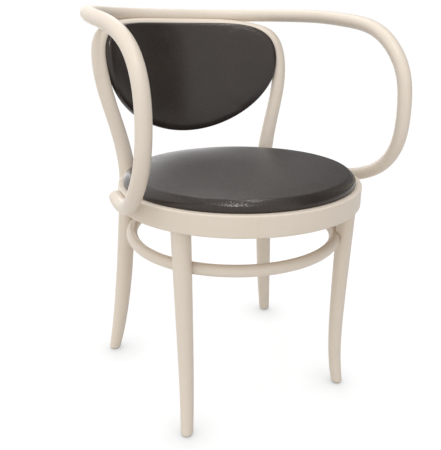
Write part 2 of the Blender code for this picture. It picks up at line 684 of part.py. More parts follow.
stretcher = stretcher_path()
stretcher_ring = add("stretcher_ring", rod_mesh("stretcher_ring", stretcher, closed=True), BEECH)
stretcher_cutter = add("stretcher_cutter", rod_mesh("stretcher_cutter", stretcher, CLEARANCE, True))

arms = arm_path()
arm_hoop = add("arm_hoop", rod_mesh("arm_hoop", arms), BEECH)
arm_cutter = add("arm_cutter", rod_mesh("arm_cutter", arms, CLEARANCE))
cut(arm_hoop, ring_cutter)

back_pad()
back_board = back_board_slab()
pad_space = pad_space_cutter()

hoop = hoop_path()
back_hoop = add("back_hoop", level_feet(rod_mesh("back_hoop", hoop)), BEECH)
cut(back_hoop, ring_cutter, stretcher_cutter, arm_cutter, pad_space)

# Pieces that come in pairs.
for word, side in SIDES:
    flip = np.array([side, 1, 1])
    leg = front_leg(side, "front_leg_" + word)
    cut(ring, tenon_socket(side, "tenon_socket_" + word))
    cut(leg, stretcher_cutter)

    # Glides under the front and rear foot.
    glide("front_glide_" + word, front_leg_axis(FOOT_HEIGHT)[:3] * flip, leg)
    glide("rear_glide_" + word, point_at(hoop, 2, FOOT_HEIGHT)[:3] * flip, back_hoop)

    # Bolt through the rear leg and the seat ring, with washer and nut inside the ring.
    outward = polar(1.0, REAR_LEG_ANGLE, 0.0) * flip
    leg_face = REAR_LEG_SEAT_REACH + REAR_LEG_SEAT_RADIUS - BOLT_HEAD_SINK
    washer_face = sqrt(SEAT_RING_INNER ** 2 - WASHER_RADIUS ** 2) - CLEARANCE
    nut_face = washer_face - WASHER_THICKNESS - CLEARANCE
    bolt_end = nut_face - NUT_HEIGHT - BOLT_END
    at_height = np.array([0, 0, SEAT_BOLT_HEIGHT])
    bolt("rear_bolt_" + word, outward * leg_face + at_height, -outward, leg_face - bolt_end,
         back_hoop, ring)
    washer("rear_washer_" + word, outward * washer_face + at_height, -outward)
    nut("rear_nut_" + word, outward * nut_face + at_height, -outward)

    # Screw with washer, from inside the seat ring into the end of the arm.
    outward = polar(1.0, (ARM_SEAT_ANGLE + ARM_END_ANGLE) / 2, 0.0) * flip
    head_face = washer_face - WASHER_THICKNESS - CLEARANCE
    bolt("arm_screw_" + word, outward * head_face + at_height, outward,
         SEAT_RING_RADIUS + SCREW_BITE - head_face, ring, arm_hoop)
    washer("arm_washer_" + word, outward * washer_face + at_height, -outward)

    # Screw up through the crest of the back hoop into the rail.
    crest = point_at(hoop, 0, RAIL_SCREW_HALF_SPREAD)[:3]
    upward = np.array([0, cos(CREST_ANGLE), sin(CREST_ANGLE)])
    head = crest - upward * (HOOP_RADIUS - SCREW_HEAD_HEIGHT)
    screw("rail_screw_" + word, head * flip, upward * flip,
          2 * HOOP_RADIUS - SCREW_HEAD_HEIGHT + SCREW_BITE, back_hoop, arm_hoop)

    # Screws from behind, through the back hoop into the back board.
    lower = point_at(hoop, 2, HOOP_WIDEST_HEIGHT + BACK_SCREW_RISE)[:3]
    upper = point_at(hoop, 0, BACK_SCREW_HALF_SPREAD)[:3]
    rear_face = sqrt(HOOP_RADIUS ** 2 - BACK_SCREW_INSET ** 2) - SCREW_HEAD_HEIGHT
    for place, spot in (("lower", lower), ("upper", upper)):
        turn = asin(spot[0] / (BACK_RADIUS + HOOP_FACE))
        forward = np.array([-sin(turn), -cos(turn), 0.0])
        inward = np.array([-cos(turn), sin(turn), 0.0]) if place == "lower" else np.array([0, 0, -1])
        head = spot + inward * BACK_SCREW_INSET - forward * rear_face
        screw(f"back_screw_{place}_{word}", head * flip, forward * flip,
              rear_face + HOOP_FACE + BACK_SCREW_BITE, back_hoop, back_board)

    # Screws from inside the stretcher ring into the front and rear leg.
    middle = np.array([0.0, STRETCHER_CENTRE_BACK, STRETCHER_HEIGHT])
    for place, axis, host in (("front", front_leg_axis, leg), ("rear", rear_leg_axis, back_hoop)):
        centre = axis(STRETCHER_HEIGHT)[:3]
        outward = (centre - middle) / np.linalg.norm(centre - middle)
        along = (stretcher[:, :3] - middle) @ outward
        crossing = along.max()
        head_face = crossing - STRETCHER_RADIUS + SCREW_SINK
        reach = np.linalg.norm(centre - middle) - head_face
        screw(f"stretcher_screw_{place}_{word}", (middle + outward * head_face) * flip,
              outward * flip, reach, stretcher_ring, host)

# Screws from below, through the ledge of the seat ring into the seat board.
for count, angle in enumerate(SEAT_SCREW_ANGLES, 1):
    start = polar(SEAT_RING_INNER + SEAT_BOARD_LEDGE / 2, angle, SEAT_RING_BOTTOM + SCREW_SINK)
    length = SEAT_RING_TOP - SEAT_BOARD_THICKNESS / 3 - start[2]
    screw(f"seat_screw_{count}", start, (0, 0, 1), length, ring, board)
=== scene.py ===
# %% [markdown]
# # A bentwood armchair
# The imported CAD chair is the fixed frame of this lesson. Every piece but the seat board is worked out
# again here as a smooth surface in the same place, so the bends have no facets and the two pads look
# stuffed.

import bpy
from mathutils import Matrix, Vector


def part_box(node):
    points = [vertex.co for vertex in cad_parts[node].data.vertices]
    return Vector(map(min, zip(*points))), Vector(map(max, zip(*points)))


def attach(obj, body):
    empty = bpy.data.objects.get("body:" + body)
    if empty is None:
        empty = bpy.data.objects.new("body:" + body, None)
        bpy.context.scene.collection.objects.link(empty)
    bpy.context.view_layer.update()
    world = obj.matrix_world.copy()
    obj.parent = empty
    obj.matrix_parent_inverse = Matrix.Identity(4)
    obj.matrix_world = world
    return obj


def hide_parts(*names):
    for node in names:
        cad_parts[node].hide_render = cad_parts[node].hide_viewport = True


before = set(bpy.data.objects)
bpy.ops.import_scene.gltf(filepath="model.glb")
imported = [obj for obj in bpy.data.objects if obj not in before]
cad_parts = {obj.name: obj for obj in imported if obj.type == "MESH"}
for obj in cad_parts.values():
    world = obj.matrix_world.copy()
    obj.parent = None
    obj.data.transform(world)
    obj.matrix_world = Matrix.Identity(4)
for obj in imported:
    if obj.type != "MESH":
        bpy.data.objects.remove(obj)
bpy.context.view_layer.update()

# %% Libraries and the middle of the seat
from math import cos, pi, radians, sin, sqrt, tau

import bpy
import numpy as np
from mathutils import Vector

RING_LOW, RING_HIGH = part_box("seat_ring")
SEAT_MIDDLE = np.array([(RING_LOW.x + RING_HIGH.x) / 2, (RING_LOW.y + RING_HIGH.y) / 2, 0.0])
print("seat middle", SEAT_MIDDLE.round(4))

# %% [markdown]
# ## Camera
# The viewpoint is a little left of the front and about twenty degrees above the seat. The lens follows
# from how fast the far legs shrink in the picture. Depth of field stays off. A Track To constraint could
# aim the camera, but a rotation worked out once is plainer, and the lamps use the same helper.

# %% Camera
TOWARDS_VIEWER = Vector((-0.43326, -0.83545, 0.33808))
VIEW_TARGET = Vector((-0.037, SEAT_MIDDLE[1], 0.359))
VIEW_DISTANCE = 1.059


def facing(name, data, place, heading):
    """A camera or lamp at a place, turned so that it looks along a heading."""
    holder = bpy.data.objects.new(name, data)
    holder.location = place
    holder.rotation_mode = "QUATERNION"
    holder.rotation_quaternion = heading.to_track_quat("-Z", "Y")
    bpy.context.scene.collection.objects.link(holder)
    return holder


lens = bpy.data.cameras.new("camera")
lens.sensor_width = 36.0
lens.lens = 42.593
lens.shift_x = -0.0041
lens.clip_start = 0.05
camera = facing("camera", lens, VIEW_TARGET + TOWARDS_VIEWER * VIEW_DISTANCE, -TOWARDS_VIEWER)
bpy.context.scene.camera = camera
bpy.context.scene.view_settings.view_transform = "Standard"
print("camera at", camera.location[:])

# %% [markdown]
# ## Shader sums as Python sums
# A finish is a small calculation about a point of the surface. Wiring Math nodes by hand hides that, so
# one class wraps a socket: plus, minus and times add a Math node, and `node` adds any other kind.

# %% Wires
class Wire:
    """An output socket that can be used in sums; every operator adds one Math node."""

    def __init__(self, tree, socket=None):
        self.tree = tree
        self.socket = socket

    def node(self, kind, settings=None, sockets=None, output=0):
        """Add a node: first its settings, then values or wires for its sockets; gives one output."""
        made = self.tree.nodes.new("ShaderNode" + kind)
        for name, value in (settings or {}).items():
            setattr(made, name, value)
        for name, value in (sockets or {}).items():
            if isinstance(value, Wire):
                self.tree.links.new(value.socket, made.inputs[name])
            else:
                made.inputs[name].default_value = value
        return Wire(self.tree, made.outputs[output] if made.outputs else None)

    def sum(self, operation, first, second):
        """One Math node on two values or wires."""
        return self.node("Math", {"operation": operation}, {0: first, 1: second})

    def __add__(self, other):
        return self.sum("ADD", self, other)

    def __sub__(self, other):
        return self.sum("SUBTRACT", self, other)

    def __rsub__(self, other):
        return self.sum("SUBTRACT", other, self)

    def __mul__(self, other):
        return self.sum("MULTIPLY", self, other)

    __radd__, __rmul__ = __add__, __mul__

    def between(self, low, high):
        """0 below low, 1 above high, and a soft step from one to the other."""
        return self.node("MapRange", {"interpolation_type": "SMOOTHSTEP"},
                         {"Value": self, "From Min": low, "From Max": high})

    def stretched(self, scale):
        """A vector with each of its three values scaled by itself."""
        return self.node("VectorMath", {"operation": "MULTIPLY"}, {0: self, 1: scale})

    def noise(self, scale, detail):
        """Cloudy values from 0 to 1 at the places that this vector gives."""
        return self.node("TexNoise", {}, {"Vector": self, "Scale": scale, "Detail": detail})

    def paint(self, low, high):
        """A colour that goes from low to high as this value goes from 0 to 1."""
        colours = {0: self, 6: low if isinstance(low, Wire) else (*low, 1.0), 7: (*high, 1.0)}
        return self.node("Mix", {"data_type": "RGBA"}, colours, output=2)


def new_finish(name):
    """An empty material, and a wire to start its sums from."""
    material = bpy.data.materials.new(name)
    material.use_nodes = True
    material.node_tree.nodes.clear()
    return material, Wire(material.node_tree)


def lacquer(wire, sockets):
    """Close a finish with one Principled shader."""
    shader = wire.node("BsdfPrincipled", {}, sockets)
    wire.node("OutputMaterial", {}, {"Surface": shader})


print("wires ready")

# %% [markdown]
# ## Light
# The chair stands in soft light that comes from everywhere but the right, where the studio is darker, as
# the shaded right sides of the legs and the dim left half of the curved back pad show. It could be a
# ring of large lamps, but a world whose strength depends on the direction is smoother. It fades a little
# to the far left and overhead too, which keeps the tops of the rods from turning white. To the camera
# the world is plain white. Two small lamps, high in front and overhead, draw the narrow highlights on
# the rolls of the pads. Two broad ones behind, one high and one low, give the seat its grazing sheen.

# %% World
SKY_BRIGHT, SKY_DIM = 1.18, 0.19
DIM_FROM, DIM_TO = 0.40, 0.54
FAR_RIGHT_FROM, FAR_RIGHT_GAIN = 0.70, 0.22
FAR_LEFT_TO, FAR_LEFT_FROM, FAR_LEFT_LOSS = -0.60, 0.35, 0.05
OVERHEAD_FROM, OVERHEAD_LOSS = 0.50, 0.20
world = bpy.data.worlds.new("studio")
world.use_nodes = True
world.node_tree.nodes.clear()
start = Wire(world.node_tree)
towards = start.node("TexCoord", output="Generated")
across = start.node("SeparateXYZ", {}, {0: towards}, output="X")
upward = start.node("SeparateXYZ", {}, {0: towards}, output="Z")
dim_side = across.between(DIM_FROM, DIM_TO) - across.between(FAR_RIGHT_FROM, 1.0) * FAR_RIGHT_GAIN
dim_side = dim_side + (1.0 - across.between(FAR_LEFT_TO, FAR_LEFT_FROM)) * FAR_LEFT_LOSS
overhead = upward.between(OVERHEAD_FROM, 1.0) * OVERHEAD_LOSS
sky = (SKY_BRIGHT - dim_side * (SKY_BRIGHT - SKY_DIM)) * (1.0 - overhead)
seen = start.node("LightPath", output="Is Camera Ray")
through = start.node("LightPath", output="Is Transmission Ray")
white = seen + through
strength = sky * (1.0 - white) + white
light = start.node("Background", {}, {"Color": (1.0, 1.0, 1.0, 1.0), "Strength": strength})
start.node("OutputWorld", {}, {"Surface": light})
bpy.context.scene.world = world
print("sky from", SKY_DIM, "to", SKY_BRIGHT)

# %% Softboxes
LAMP_AIM = Vector((0.0, 0.0, 0.45))
SOFTBOXES = {
    "high_front_box": ((-0.48, -0.69 + SEAT_MIDDLE[1], 2.46), 0.18, 9.0),
    "overhead_box": ((0.30, 0.0, 2.60), 0.12, 3.0),
    "high_rear_box": ((0.35, 1.45, 2.20), 0.8, 4.5),
    "low_rear_box": ((0.48, 2.20, 0.68), 1.2, 7.0),
}


def softbox(name, place, size, watts):
    """A square lamp that faces the seat."""
    lamp = bpy.data.lights.new(name, "AREA")
    lamp.size = size
    lamp.energy = watts
    facing(name, lamp, place, LAMP_AIM - Vector(place))


for name, (place, size, watts) in SOFTBOXES.items():
    softbox(name, place, size, watts)
print(len(SOFTBOXES), "softboxes")

# %% [markdown]
# ## Floor
# A plain white plane would come out grey on the dim side of the studio. So to the camera and in
# reflections this floor glows evenly, but for a faint painted shade round each foot: the glow is darker
# where a share of the half sphere above the floor is hidden, which the occlusion node measures within
# a hand's width. A small diffuse share keeps the chair's real shadow. To all other light the floor is a
# pale grey, so what it throws back at the chair is modest.

# %% Floor
BOUNCE = (0.68, 0.67, 0.65, 1.0)
# How far the painted shade round each foot reaches and its darkest tone, then the floor's glow and its
# diffuse share.
PAINTED_SHADE_REACH, PAINTED_SHADE_DARK, FLOOR_GLOW, SHADOW_SHARE = 0.075, 0.26, 0.915, 0.12
FLOOR_HALF = 9.0
paper, start = new_finish("white_floor")
seen = start.node("LightPath", output="Is Camera Ray")
mirrored = start.node("LightPath", output="Is Glossy Ray")
soft_bounce = start.node("BsdfDiffuse", {}, {"Color": BOUNCE})
# Painted shade: the floor's glow runs from dark to white with the occlusion value, so it is darker round
# each foot.
openness = start.node("AmbientOcclusion", {"samples": 16}, {"Distance": PAINTED_SHADE_REACH}, output="AO")
glow_with_painted_shade = start.node("Emission", {}, {"Color": openness.paint([PAINTED_SHADE_DARK] * 3, [FLOOR_GLOW] * 3)})
shadow_part = start.node("BsdfDiffuse", {}, {"Color": (*[SHADOW_SHARE] * 3, 1.0)})
as_seen = start.node("AddShader", {}, {0: shadow_part, 1: glow_with_painted_shade})
both = start.node("MixShader", {}, {0: seen + mirrored, 1: soft_bounce, 2: as_seen})
start.node("OutputMaterial", {}, {"Surface": both})
floor_mesh = bpy.data.meshes.new("floor")
floor_corners = np.array([[-1, -1, 0], [1, -1, 0], [1, 1, 0], [-1, 1, 0]]) * FLOOR_HALF
floor_mesh.from_pydata(floor_corners, [], [(0, 1, 2, 3)])
floor_mesh.materials.append(paper)
floor = bpy.data.objects.new("floor", floor_mesh)
bpy.context.scene.collection.objects.link(floor)
print("floor laid")

# %% [markdown]
# ## Stained beech
# Beech is a pale, even wood with short dark flecks where its rays are cut. Here a cream stain covers
# most of that. On Object coordinates the figure would run straight through a bend, and it has to follow
# the rods, so each piece carries an attribute called grain: metres along the rod, then the place in its
# section. Noise that is long along the first value and short across the others gives streaks, and small
# stretched cells give the flecks.

# %% Stained beech
CREAM = (0.745, 0.659, 0.562)
CREAM_STREAK = (0.690, 0.600, 0.498)
FLECK = (0.560, 0.455, 0.350)
# How many turns of each pattern fit in a metre: along the rod, then across it both ways.
BROAD_STREAKS, FINE_STREAKS = (1.6, 45.0, 45.0), (9.0, 620.0, 620.0)
FLECK_CELLS, FLECK_PLACES = (230.0, 1150.0, 1150.0), (60.0, 300.0, 300.0)
CURL_WAVES, CURL_PLACES = (70.0, 4.0, 4.0), (7.0, 2.0, 2.0)


def stained_beech():
    """Cream, tinted by streaks and rare flecks. The fine streaks roughen it and both give a faint relief."""
    material, start = new_finish("stained_beech")
    grain = start.node("Attribute", {"attribute_name": "grain"}, output="Vector")
    broad = grain.stretched(BROAD_STREAKS).noise(1.0, 2.0)
    fine = grain.stretched(FINE_STREAKS).noise(1.0, 2.0)
    cells = grain.stretched(FLECK_CELLS)
    lens_shape = start.node("TexVoronoi", {}, {"Vector": cells, "Scale": 1.0}, output="Distance")
    rare = grain.stretched(FLECK_PLACES).noise(1.0, 1.0).between(0.52, 0.66)
    fleck = (1.0 - lens_shape.between(0.10, 0.34)) * rare
    curl = grain.stretched(CURL_WAVES).noise(1.0, 1.0).between(0.45, 0.75)
    patch = grain.stretched(CURL_PLACES).noise(1.0, 1.0).between(0.50, 0.70)
    streak = broad.between(0.35, 0.75) * 0.16 + fine.between(0.40, 0.80) * 0.20 + curl * patch * 0.35
    colour = (fleck * 0.22).paint(streak.paint(CREAM, CREAM_STREAK), FLECK)
    relief = fine * 0.5 + fleck * -0.6
    bump = start.node("Bump", {}, {"Strength": 0.10, "Distance": 0.0006, "Height": relief})
    lacquer(start, {"Base Color": colour, "Roughness": fine * 0.10 + 0.36, "Normal": bump,
                    "Specular IOR Level": 0.42})
    return material


BEECH = stained_beech()
print("made", BEECH.name)

# %% [markdown]
# ## Dark leather
# The covers are a nearly black brown leather. Its pebble grain is a cell pattern about two millimetres
# across. It could be modelled, but as a bump it costs no faces and still breaks up the gloss. The hide
# has a fairly sharp gloss, which sitting has dulled to a soft sheen on the top of the seat: the pads
# carry an attribute called worn, which is 1 there and 0 elsewhere.

# %% Dark leather
HIDE = (0.0200, 0.0148, 0.0122)
HIDE_PALE = (0.0310, 0.0238, 0.0203)
# How many turns of each pattern fit in a metre.
PEBBLES, WOBBLES, PORES, PATCHES = 430.0, 300.0, 1500.0, 16.0


def dark_leather():
    """Dark hide: cells and noise are its pebbles, and patches and wear change its tone and gloss."""
    material, start = new_finish("dark_leather")
    place = start.node("TexCoord", output="Object")
    wobble = place.noise(WOBBLES, 2.0)
    pebble = start.node("TexVoronoi", {"feature": "SMOOTH_F1"},
                        {"Vector": place, "Scale": PEBBLES, "Smoothness": 0.35}, output="Distance")
    pores = place.noise(PORES, 1.0)
    patch = place.noise(PATCHES, 3.0)
    worn = start.node("Attribute", {"attribute_name": "worn"}, output="Fac")
    tone = patch.between(0.30, 0.75) * 0.35 + wobble.between(0.30, 0.70) * 0.45 + pebble * 0.30
    relief = pebble * -1.0 + wobble * 1.3 + pores * 0.25
    bump = start.node("Bump", {}, {"Strength": 0.16, "Distance": 0.0009, "Height": relief})
    rough = patch * 0.06 + pebble * 0.08 + worn * 0.27 + 0.17
    sheen = worn * (wobble.between(0.30, 0.70) * 0.26 + 0.38) + 0.05
    lacquer(start, {"Base Color": tone.paint(HIDE, HIDE_PALE), "Roughness": rough, "Normal": bump,
                    "IOR": 1.46, "Specular Tint": (1.0, 0.94, 0.90, 1.0),
                    "Coat Weight": sheen, "Coat Roughness": 0.55})
    return material


LEATHER = dark_leather()
print("made", LEATHER.name)

# %% [markdown]
# ## Plywood, steel and nylon
# These show only from below and behind, so plain noise on Object coordinates is enough. Plywood has
# long streaks along its face veneer, so the noise of each board is stretched along one axis. The zinc on
# the fasteners is clouded, and the glides are plain nylon.

# %% Plywood, steel and nylon
VENEER, VENEER_STREAK = (0.60, 0.455, 0.295), (0.47, 0.325, 0.185)
ZINC_DULL, ZINC_BRIGHT, ZINC_CLOUDS = (0.50, 0.50, 0.51), (0.63, 0.63, 0.64), 420.0
NYLON_LIGHT, NYLON_DARK, NYLON_CLOUDS = (0.64, 0.60, 0.54), (0.57, 0.53, 0.47), 260.0


def plywood(name, along):
    """Streaks that run along the axis whose stretch is small."""
    material, start = new_finish(name)
    place = start.node("TexCoord", output="Object").stretched(along)
    broad = place.stretched((0.25, 0.25, 0.25)).noise(1.0, 3.0)
    fine = place.stretched((4.0, 4.0, 4.0)).noise(1.0, 2.0)
    tone = broad.between(0.30, 0.72) * 0.6 + fine.between(0.45, 0.80) * 0.4
    bump = start.node("Bump", {}, {"Strength": 0.15, "Distance": 0.0005, "Height": fine})
    lacquer(start, {"Base Color": tone.paint(VENEER, VENEER_STREAK),
                    "Roughness": fine * 0.15 + 0.48, "Normal": bump})
    return material


def zinc_steel():
    """Metal whose tone and gloss follow one cloudy noise."""
    material, start = new_finish("zinc_steel")
    cloud = start.node("TexCoord", output="Object").noise(ZINC_CLOUDS, 3.0)
    lacquer(start, {"Base Color": cloud.paint(ZINC_DULL, ZINC_BRIGHT),
                    "Roughness": cloud * 0.22 + 0.24, "Metallic": 1.0})
    return material


def pale_nylon():
    """Plastic whose tone, gloss and relief follow one cloudy noise."""
    material, start = new_finish("pale_nylon")
    cloud = start.node("TexCoord", output="Object").noise(NYLON_CLOUDS, 3.0)
    bump = start.node("Bump", {}, {"Strength": 0.10, "Distance": 0.0004, "Height": cloud})
    lacquer(start, {"Base Color": cloud.paint(NYLON_LIGHT, NYLON_DARK),
                    "Roughness": cloud * 0.15 + 0.42, "Normal": bump})
    return material


SEAT_PLYWOOD = plywood("seat_plywood", (46.0, 3.0, 3.0))
BACK_PLYWOOD = plywood("back_plywood", (3.0, 3.0, 46.0))
STEEL = zinc_steel()
NYLON = pale_nylon()
print("made", SEAT_PLYWOOD.name, BACK_PLYWOOD.name, STEEL.name, NYLON.name)

# %% [markdown]
# ## From points to pieces
# Every new shape is a grid of points worked out at once. One helper turns a grid into a mesh, makes its
# faces point outwards by the sign of its volume, and hands it to the frame in place of the CAD node.
# Where light only grazes a rod, its faces would shade one another in a ragged line. So shadow rays start
# a little above the faces there.

# %% Points to pieces
SHARP_EDGE = radians(48)
SHADE_LIFT = 0.6


def quads_of(index):
    """Four neighbours in a grid of vertex numbers make one face."""
    corners = [index[:-1, :-1], index[:-1, 1:], index[1:, 1:], index[1:, :-1]]
    return np.stack(corners, axis=-1).reshape(-1, 4)


def round_points(radius, turn, height):
    """Points round the upright axis: x and y are the radius times cosine and sine of the turn."""
    return np.stack([radius * np.cos(turn), radius * np.sin(turn), height + 0 * turn], axis=-1)


def volume_of(verts, faces):
    """Signed volume: a sixth of the triple product of each triangle's corners, summed."""
    one, two, three = (verts[faces[:, k]] for k in range(3))
    return np.sum(np.cross(one, two) * three) / 6


def add_piece(name, verts, quads, fans, finish, nodes, grain=None):
    """Put points and faces into a mesh piece that stands for CAD nodes."""
    halves = [quads[:, :3], quads[:, [0, 2, 3]], fans]
    if volume_of(verts, np.concatenate(halves)) < 0:
        quads, fans = quads[:, ::-1], fans[:, ::-1]
    mesh = bpy.data.meshes.new(name)
    mesh.from_pydata((verts + SEAT_MIDDLE).tolist(), [], quads.tolist() + fans.tolist())
    mesh.shade_smooth()
    mesh.set_sharp_from_angle(angle=SHARP_EDGE)
    mesh.materials.append(finish)
    if grain is not None:
        field = mesh.attributes.new("grain", "FLOAT_VECTOR", "POINT")
        field.data.foreach_set("vector", np.ascontiguousarray(grain, np.float32).ravel())
    piece = bpy.data.objects.new(name, mesh)
    piece.shadow_terminator_geometry_offset = SHADE_LIFT
    bpy.context.scene.collection.objects.link(piece)
    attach(piece, "root")
    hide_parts(*nodes)
    return piece


def grid_piece(name, points, finish, nodes, ring=False, ends=None, grain=None):
    """A grid whose columns close on themselves; rows close in a ring or end in two points."""
    rows, columns = points.shape[:2]
    index = np.arange(rows * columns).reshape(rows, columns)
    index = np.concatenate([index, index[:, :1]], axis=1)
    if ring:
        index = np.concatenate([index, index[:1]])
    fans = np.zeros((0, 3), int)
    verts = points.reshape(-1, 3)
    if ends is not None:
        first = np.full(columns, rows * columns)
        near = np.stack([first, index[0, 1:], index[0, :-1]], axis=1)
        far = np.stack([first + 1, index[-1, :-1], index[-1, 1:]], axis=1)
        fans = np.concatenate([near, far])
        verts = np.concatenate([verts, ends])
        if grain is not None:
            tips = [grain[0].mean(axis=0), grain[-1].mean(axis=0)]
            grain = np.concatenate([grain.reshape(-1, 3), tips])
    return add_piece(name, verts, quads_of(index), fans, finish, nodes, grain)


def beech_piece(name, points, grain, node, ring=False, ends=None):
    """A grid piece of stained beech, which carries its grain."""
    return grid_piece(name, points, BEECH, [node], ring, ends, grain)


print("piece makers ready")

# %% [markdown]
# ## Seat ring
# The ring is one beech bar bent round and joined on itself, nearly square in section with rounded
# edges and a ledge for the seat board. A Screw modifier could carry its section round, but points that
# are worked out at once come with their grain. The grain runs round the ring and is folded in the
# middle, so the figure has no jump where it closes.

# %% Seat ring
RING_RADIUS, RING_INNER, RING_LEDGE = 0.234, 0.196, 0.217
RING_TOP, RING_BOTTOM, LEDGE_HEIGHT = 0.4508, 0.413, 0.4397
RING_ROUNDING = 0.0021
RING_STEPS, CORNER_STEPS, FACE_STEPS = 288, 7, 8


def corner(radius, height, start, end):
    """Points on a quarter circle round a corner's centre, from one angle to another."""
    turn = np.radians(np.linspace(start, end, CORNER_STEPS))
    return np.column_stack([radius + RING_ROUNDING * np.cos(turn), height + RING_ROUNDING * np.sin(turn)])


def ring_section():
    """The ring's section as (radius, height) points: ledge, top, outer face, bottom, inner face."""
    edge = RING_ROUNDING
    ledge = [[RING_INNER, LEDGE_HEIGHT], [RING_LEDGE, LEDGE_HEIGHT], [RING_LEDGE, RING_TOP]]
    face = np.linspace(RING_TOP - edge, RING_BOTTOM + edge, FACE_STEPS)[1:-1]
    return np.concatenate([
        ledge, corner(RING_RADIUS - edge, RING_TOP - edge, 90, 0),
        np.column_stack([np.full_like(face, RING_RADIUS), face]),
        corner(RING_RADIUS - edge, RING_BOTTOM + edge, 0, -90),
        corner(RING_INNER + edge, RING_BOTTOM + edge, -90, -180)])


def ring_surface(section):
    """The section carried round the upright axis, and the grain there."""
    turn = np.linspace(0, tau, RING_STEPS, endpoint=False)[:, None]
    radius, height = section[:, 0], section[:, 1]
    along = RING_RADIUS * np.abs(turn - pi)
    grain = np.stack([along + 0 * radius, radius + 0 * turn, height + 0 * turn], axis=-1)
    return round_points(radius, turn, height), grain


points, grain = ring_surface(ring_section())
seat_ring = beech_piece("seat_ring_bent", points, grain, "seat_ring", ring=True)
print("seat ring faces", len(seat_ring.data.polygons))

# %% [markdown]
# ## Bent rods
# The arms, the back hoop, the stretcher and the legs are round rods. A bevelled curve would give the
# shape, but a grid of points can also be notched and carry the grain, so each rod is a circle carried
# along a path. A plain "up" direction would fail where a rod climbs, so the circle's own axes are handed
# from point to point, each time losing only what lies along the new heading: the section never twists.

# %% Paths
ROD_STEP = 0.0022
SPLINE_PARTS = 60


def distances(line):
    """How far along a line each of its points lies."""
    return np.concatenate([[0.0], np.cumsum(np.linalg.norm(np.diff(line, axis=0), axis=1))])


def spline_path(stations):
    """Natural cubic spline through stations of x, y, z and radius, then points an equal step apart."""
    knots = np.array(stations, float)
    count = len(knots)
    span = np.linalg.norm(np.diff(knots[:, :3], axis=0), axis=1)
    slope = np.diff(knots, axis=0) / span[:, None]
    inner = np.arange(1, count - 1)
    system = np.eye(count)
    system[inner, inner - 1] = span[:-1]
    system[inner, inner] = 2 * (span[:-1] + span[1:])
    system[inner, inner + 1] = span[1:]
    right = np.zeros_like(knots)
    right[1:-1] = 6 * np.diff(slope, axis=0)
    bend = np.linalg.solve(system, right)
    part = np.linspace(0, 1, SPLINE_PARTS, endpoint=False)[None, :, None]
    first, last = bend[:-1, None], bend[1:, None]
    lift = (2 * first + last) * (1 - part) - (first - last) * (part - part ** 2)
    curve = knots[:-1, None] * (1 - part) + knots[1:, None] * part
    curve = curve - lift * part * span[:, None, None] ** 2 / 6
    return even_steps(np.concatenate([curve.reshape(-1, 4), knots[-1:]]))


def even_steps(curve):
    """The same line with points an equal distance apart."""
    gone = distances(curve[:, :3])
    target = np.linspace(0.0, gone[-1], int(round(gone[-1] / ROD_STEP)) + 1)
    return np.stack([np.interp(target, gone, column) for column in curve.T], axis=1)


def both_sides(half):
    """A path from the +X end to the middle, carried on to the -X end."""
    half = np.asarray(half, float)
    return np.concatenate([half, half[-2::-1] * [-1, 1, 1, 1]])


print("paths have steps of", ROD_STEP)

# %% Rod surfaces
ROD_SIDES = 44
LEVEL_BLEND = 0.05
# A direction that no rod, screw or bolt runs along.
ASKEW = np.array([0.31, 0.17, 0.93])


def carried_axes(centre, ring):
    """Two directions across a path, handed on from point to point without twisting."""
    ahead = np.roll(centre, -1, 0) - np.roll(centre, 1, 0) if ring else np.gradient(centre, axis=0)
    ahead /= np.linalg.norm(ahead, axis=1)[:, None]
    side = np.cross(ahead, ASKEW)
    for i in range(len(side)):
        held = side[max(i - 1, 0)]
        held = held - ahead[i] * (held @ ahead[i])
        side[i] = held / np.linalg.norm(held)
    return side, np.cross(ahead, side)


def rod_surface(path, ring=False, start=0.0):
    """Circle of the path's radius, in the plane across the path, at every point of the path."""
    centre, radius = path[:, :3], path[:, 3]
    side, up = carried_axes(centre, ring)
    turn = np.linspace(0, tau, ROD_SIDES, endpoint=False)[None, :, None]
    offset = radius[:, None, None] * (np.cos(turn) * side[:, None] + np.sin(turn) * up[:, None])
    gone = distances(centre)
    if ring:
        gone = np.abs(gone - gone[-1] / 2)
    section = radius[:, None, None] * np.concatenate([np.cos(turn), np.sin(turn)], axis=2)
    along = np.broadcast_to((gone + start)[:, None, None], section[..., :1].shape)
    return centre[:, None] + offset, np.concatenate([along, section], axis=2)


def levelled(points, path):
    """Turn the sections near both ends of an upright rod, by a smooth step, until the ends are level."""
    gone = distances(path[:, :3])
    near = np.clip(np.minimum(gone, gone[-1] - gone) / LEVEL_BLEND, 0, 1)
    keep = (near * near * (3 - 2 * near))[:, None]
    level = path[:, None, 2]
    points[..., 2] = level + (points[..., 2] - level) * keep
    return points


print("rods have", ROD_SIDES, "sides")

# %% [markdown]
# ## Rods that meet
# Where pieces of the chair meet, one is notched for the other. A Boolean could cut the notch, but it
# breaks up the faces round the cut. Here the points of the notched rod are moved instead, so that its
# grid stays whole.

# %% Rods that meet
GAP = 0.0003
HALVINGS = 12


def clear_of_ring(points):
    """What lies inside the seat ring's outer face is moved straight out on to that face."""
    reach = np.hypot(points[..., 0], points[..., 1])
    beside = (points[..., 2] > RING_BOTTOM - GAP) & (points[..., 2] < RING_TOP + GAP)
    push = np.where(beside & (reach < RING_RADIUS + GAP), (RING_RADIUS + GAP) / reach, 1.0)
    points[..., :2] *= push[..., None]
    return points


def rod_gap(points, line):
    """How far points lie outside a rod: the least distance to its line, less its radius there."""
    apart = np.linalg.norm(points[:, None] - line[None, :, :3], axis=2)
    closest = np.argmin(apart, axis=1)
    return apart[np.arange(len(points)), closest] - line[closest, 3]


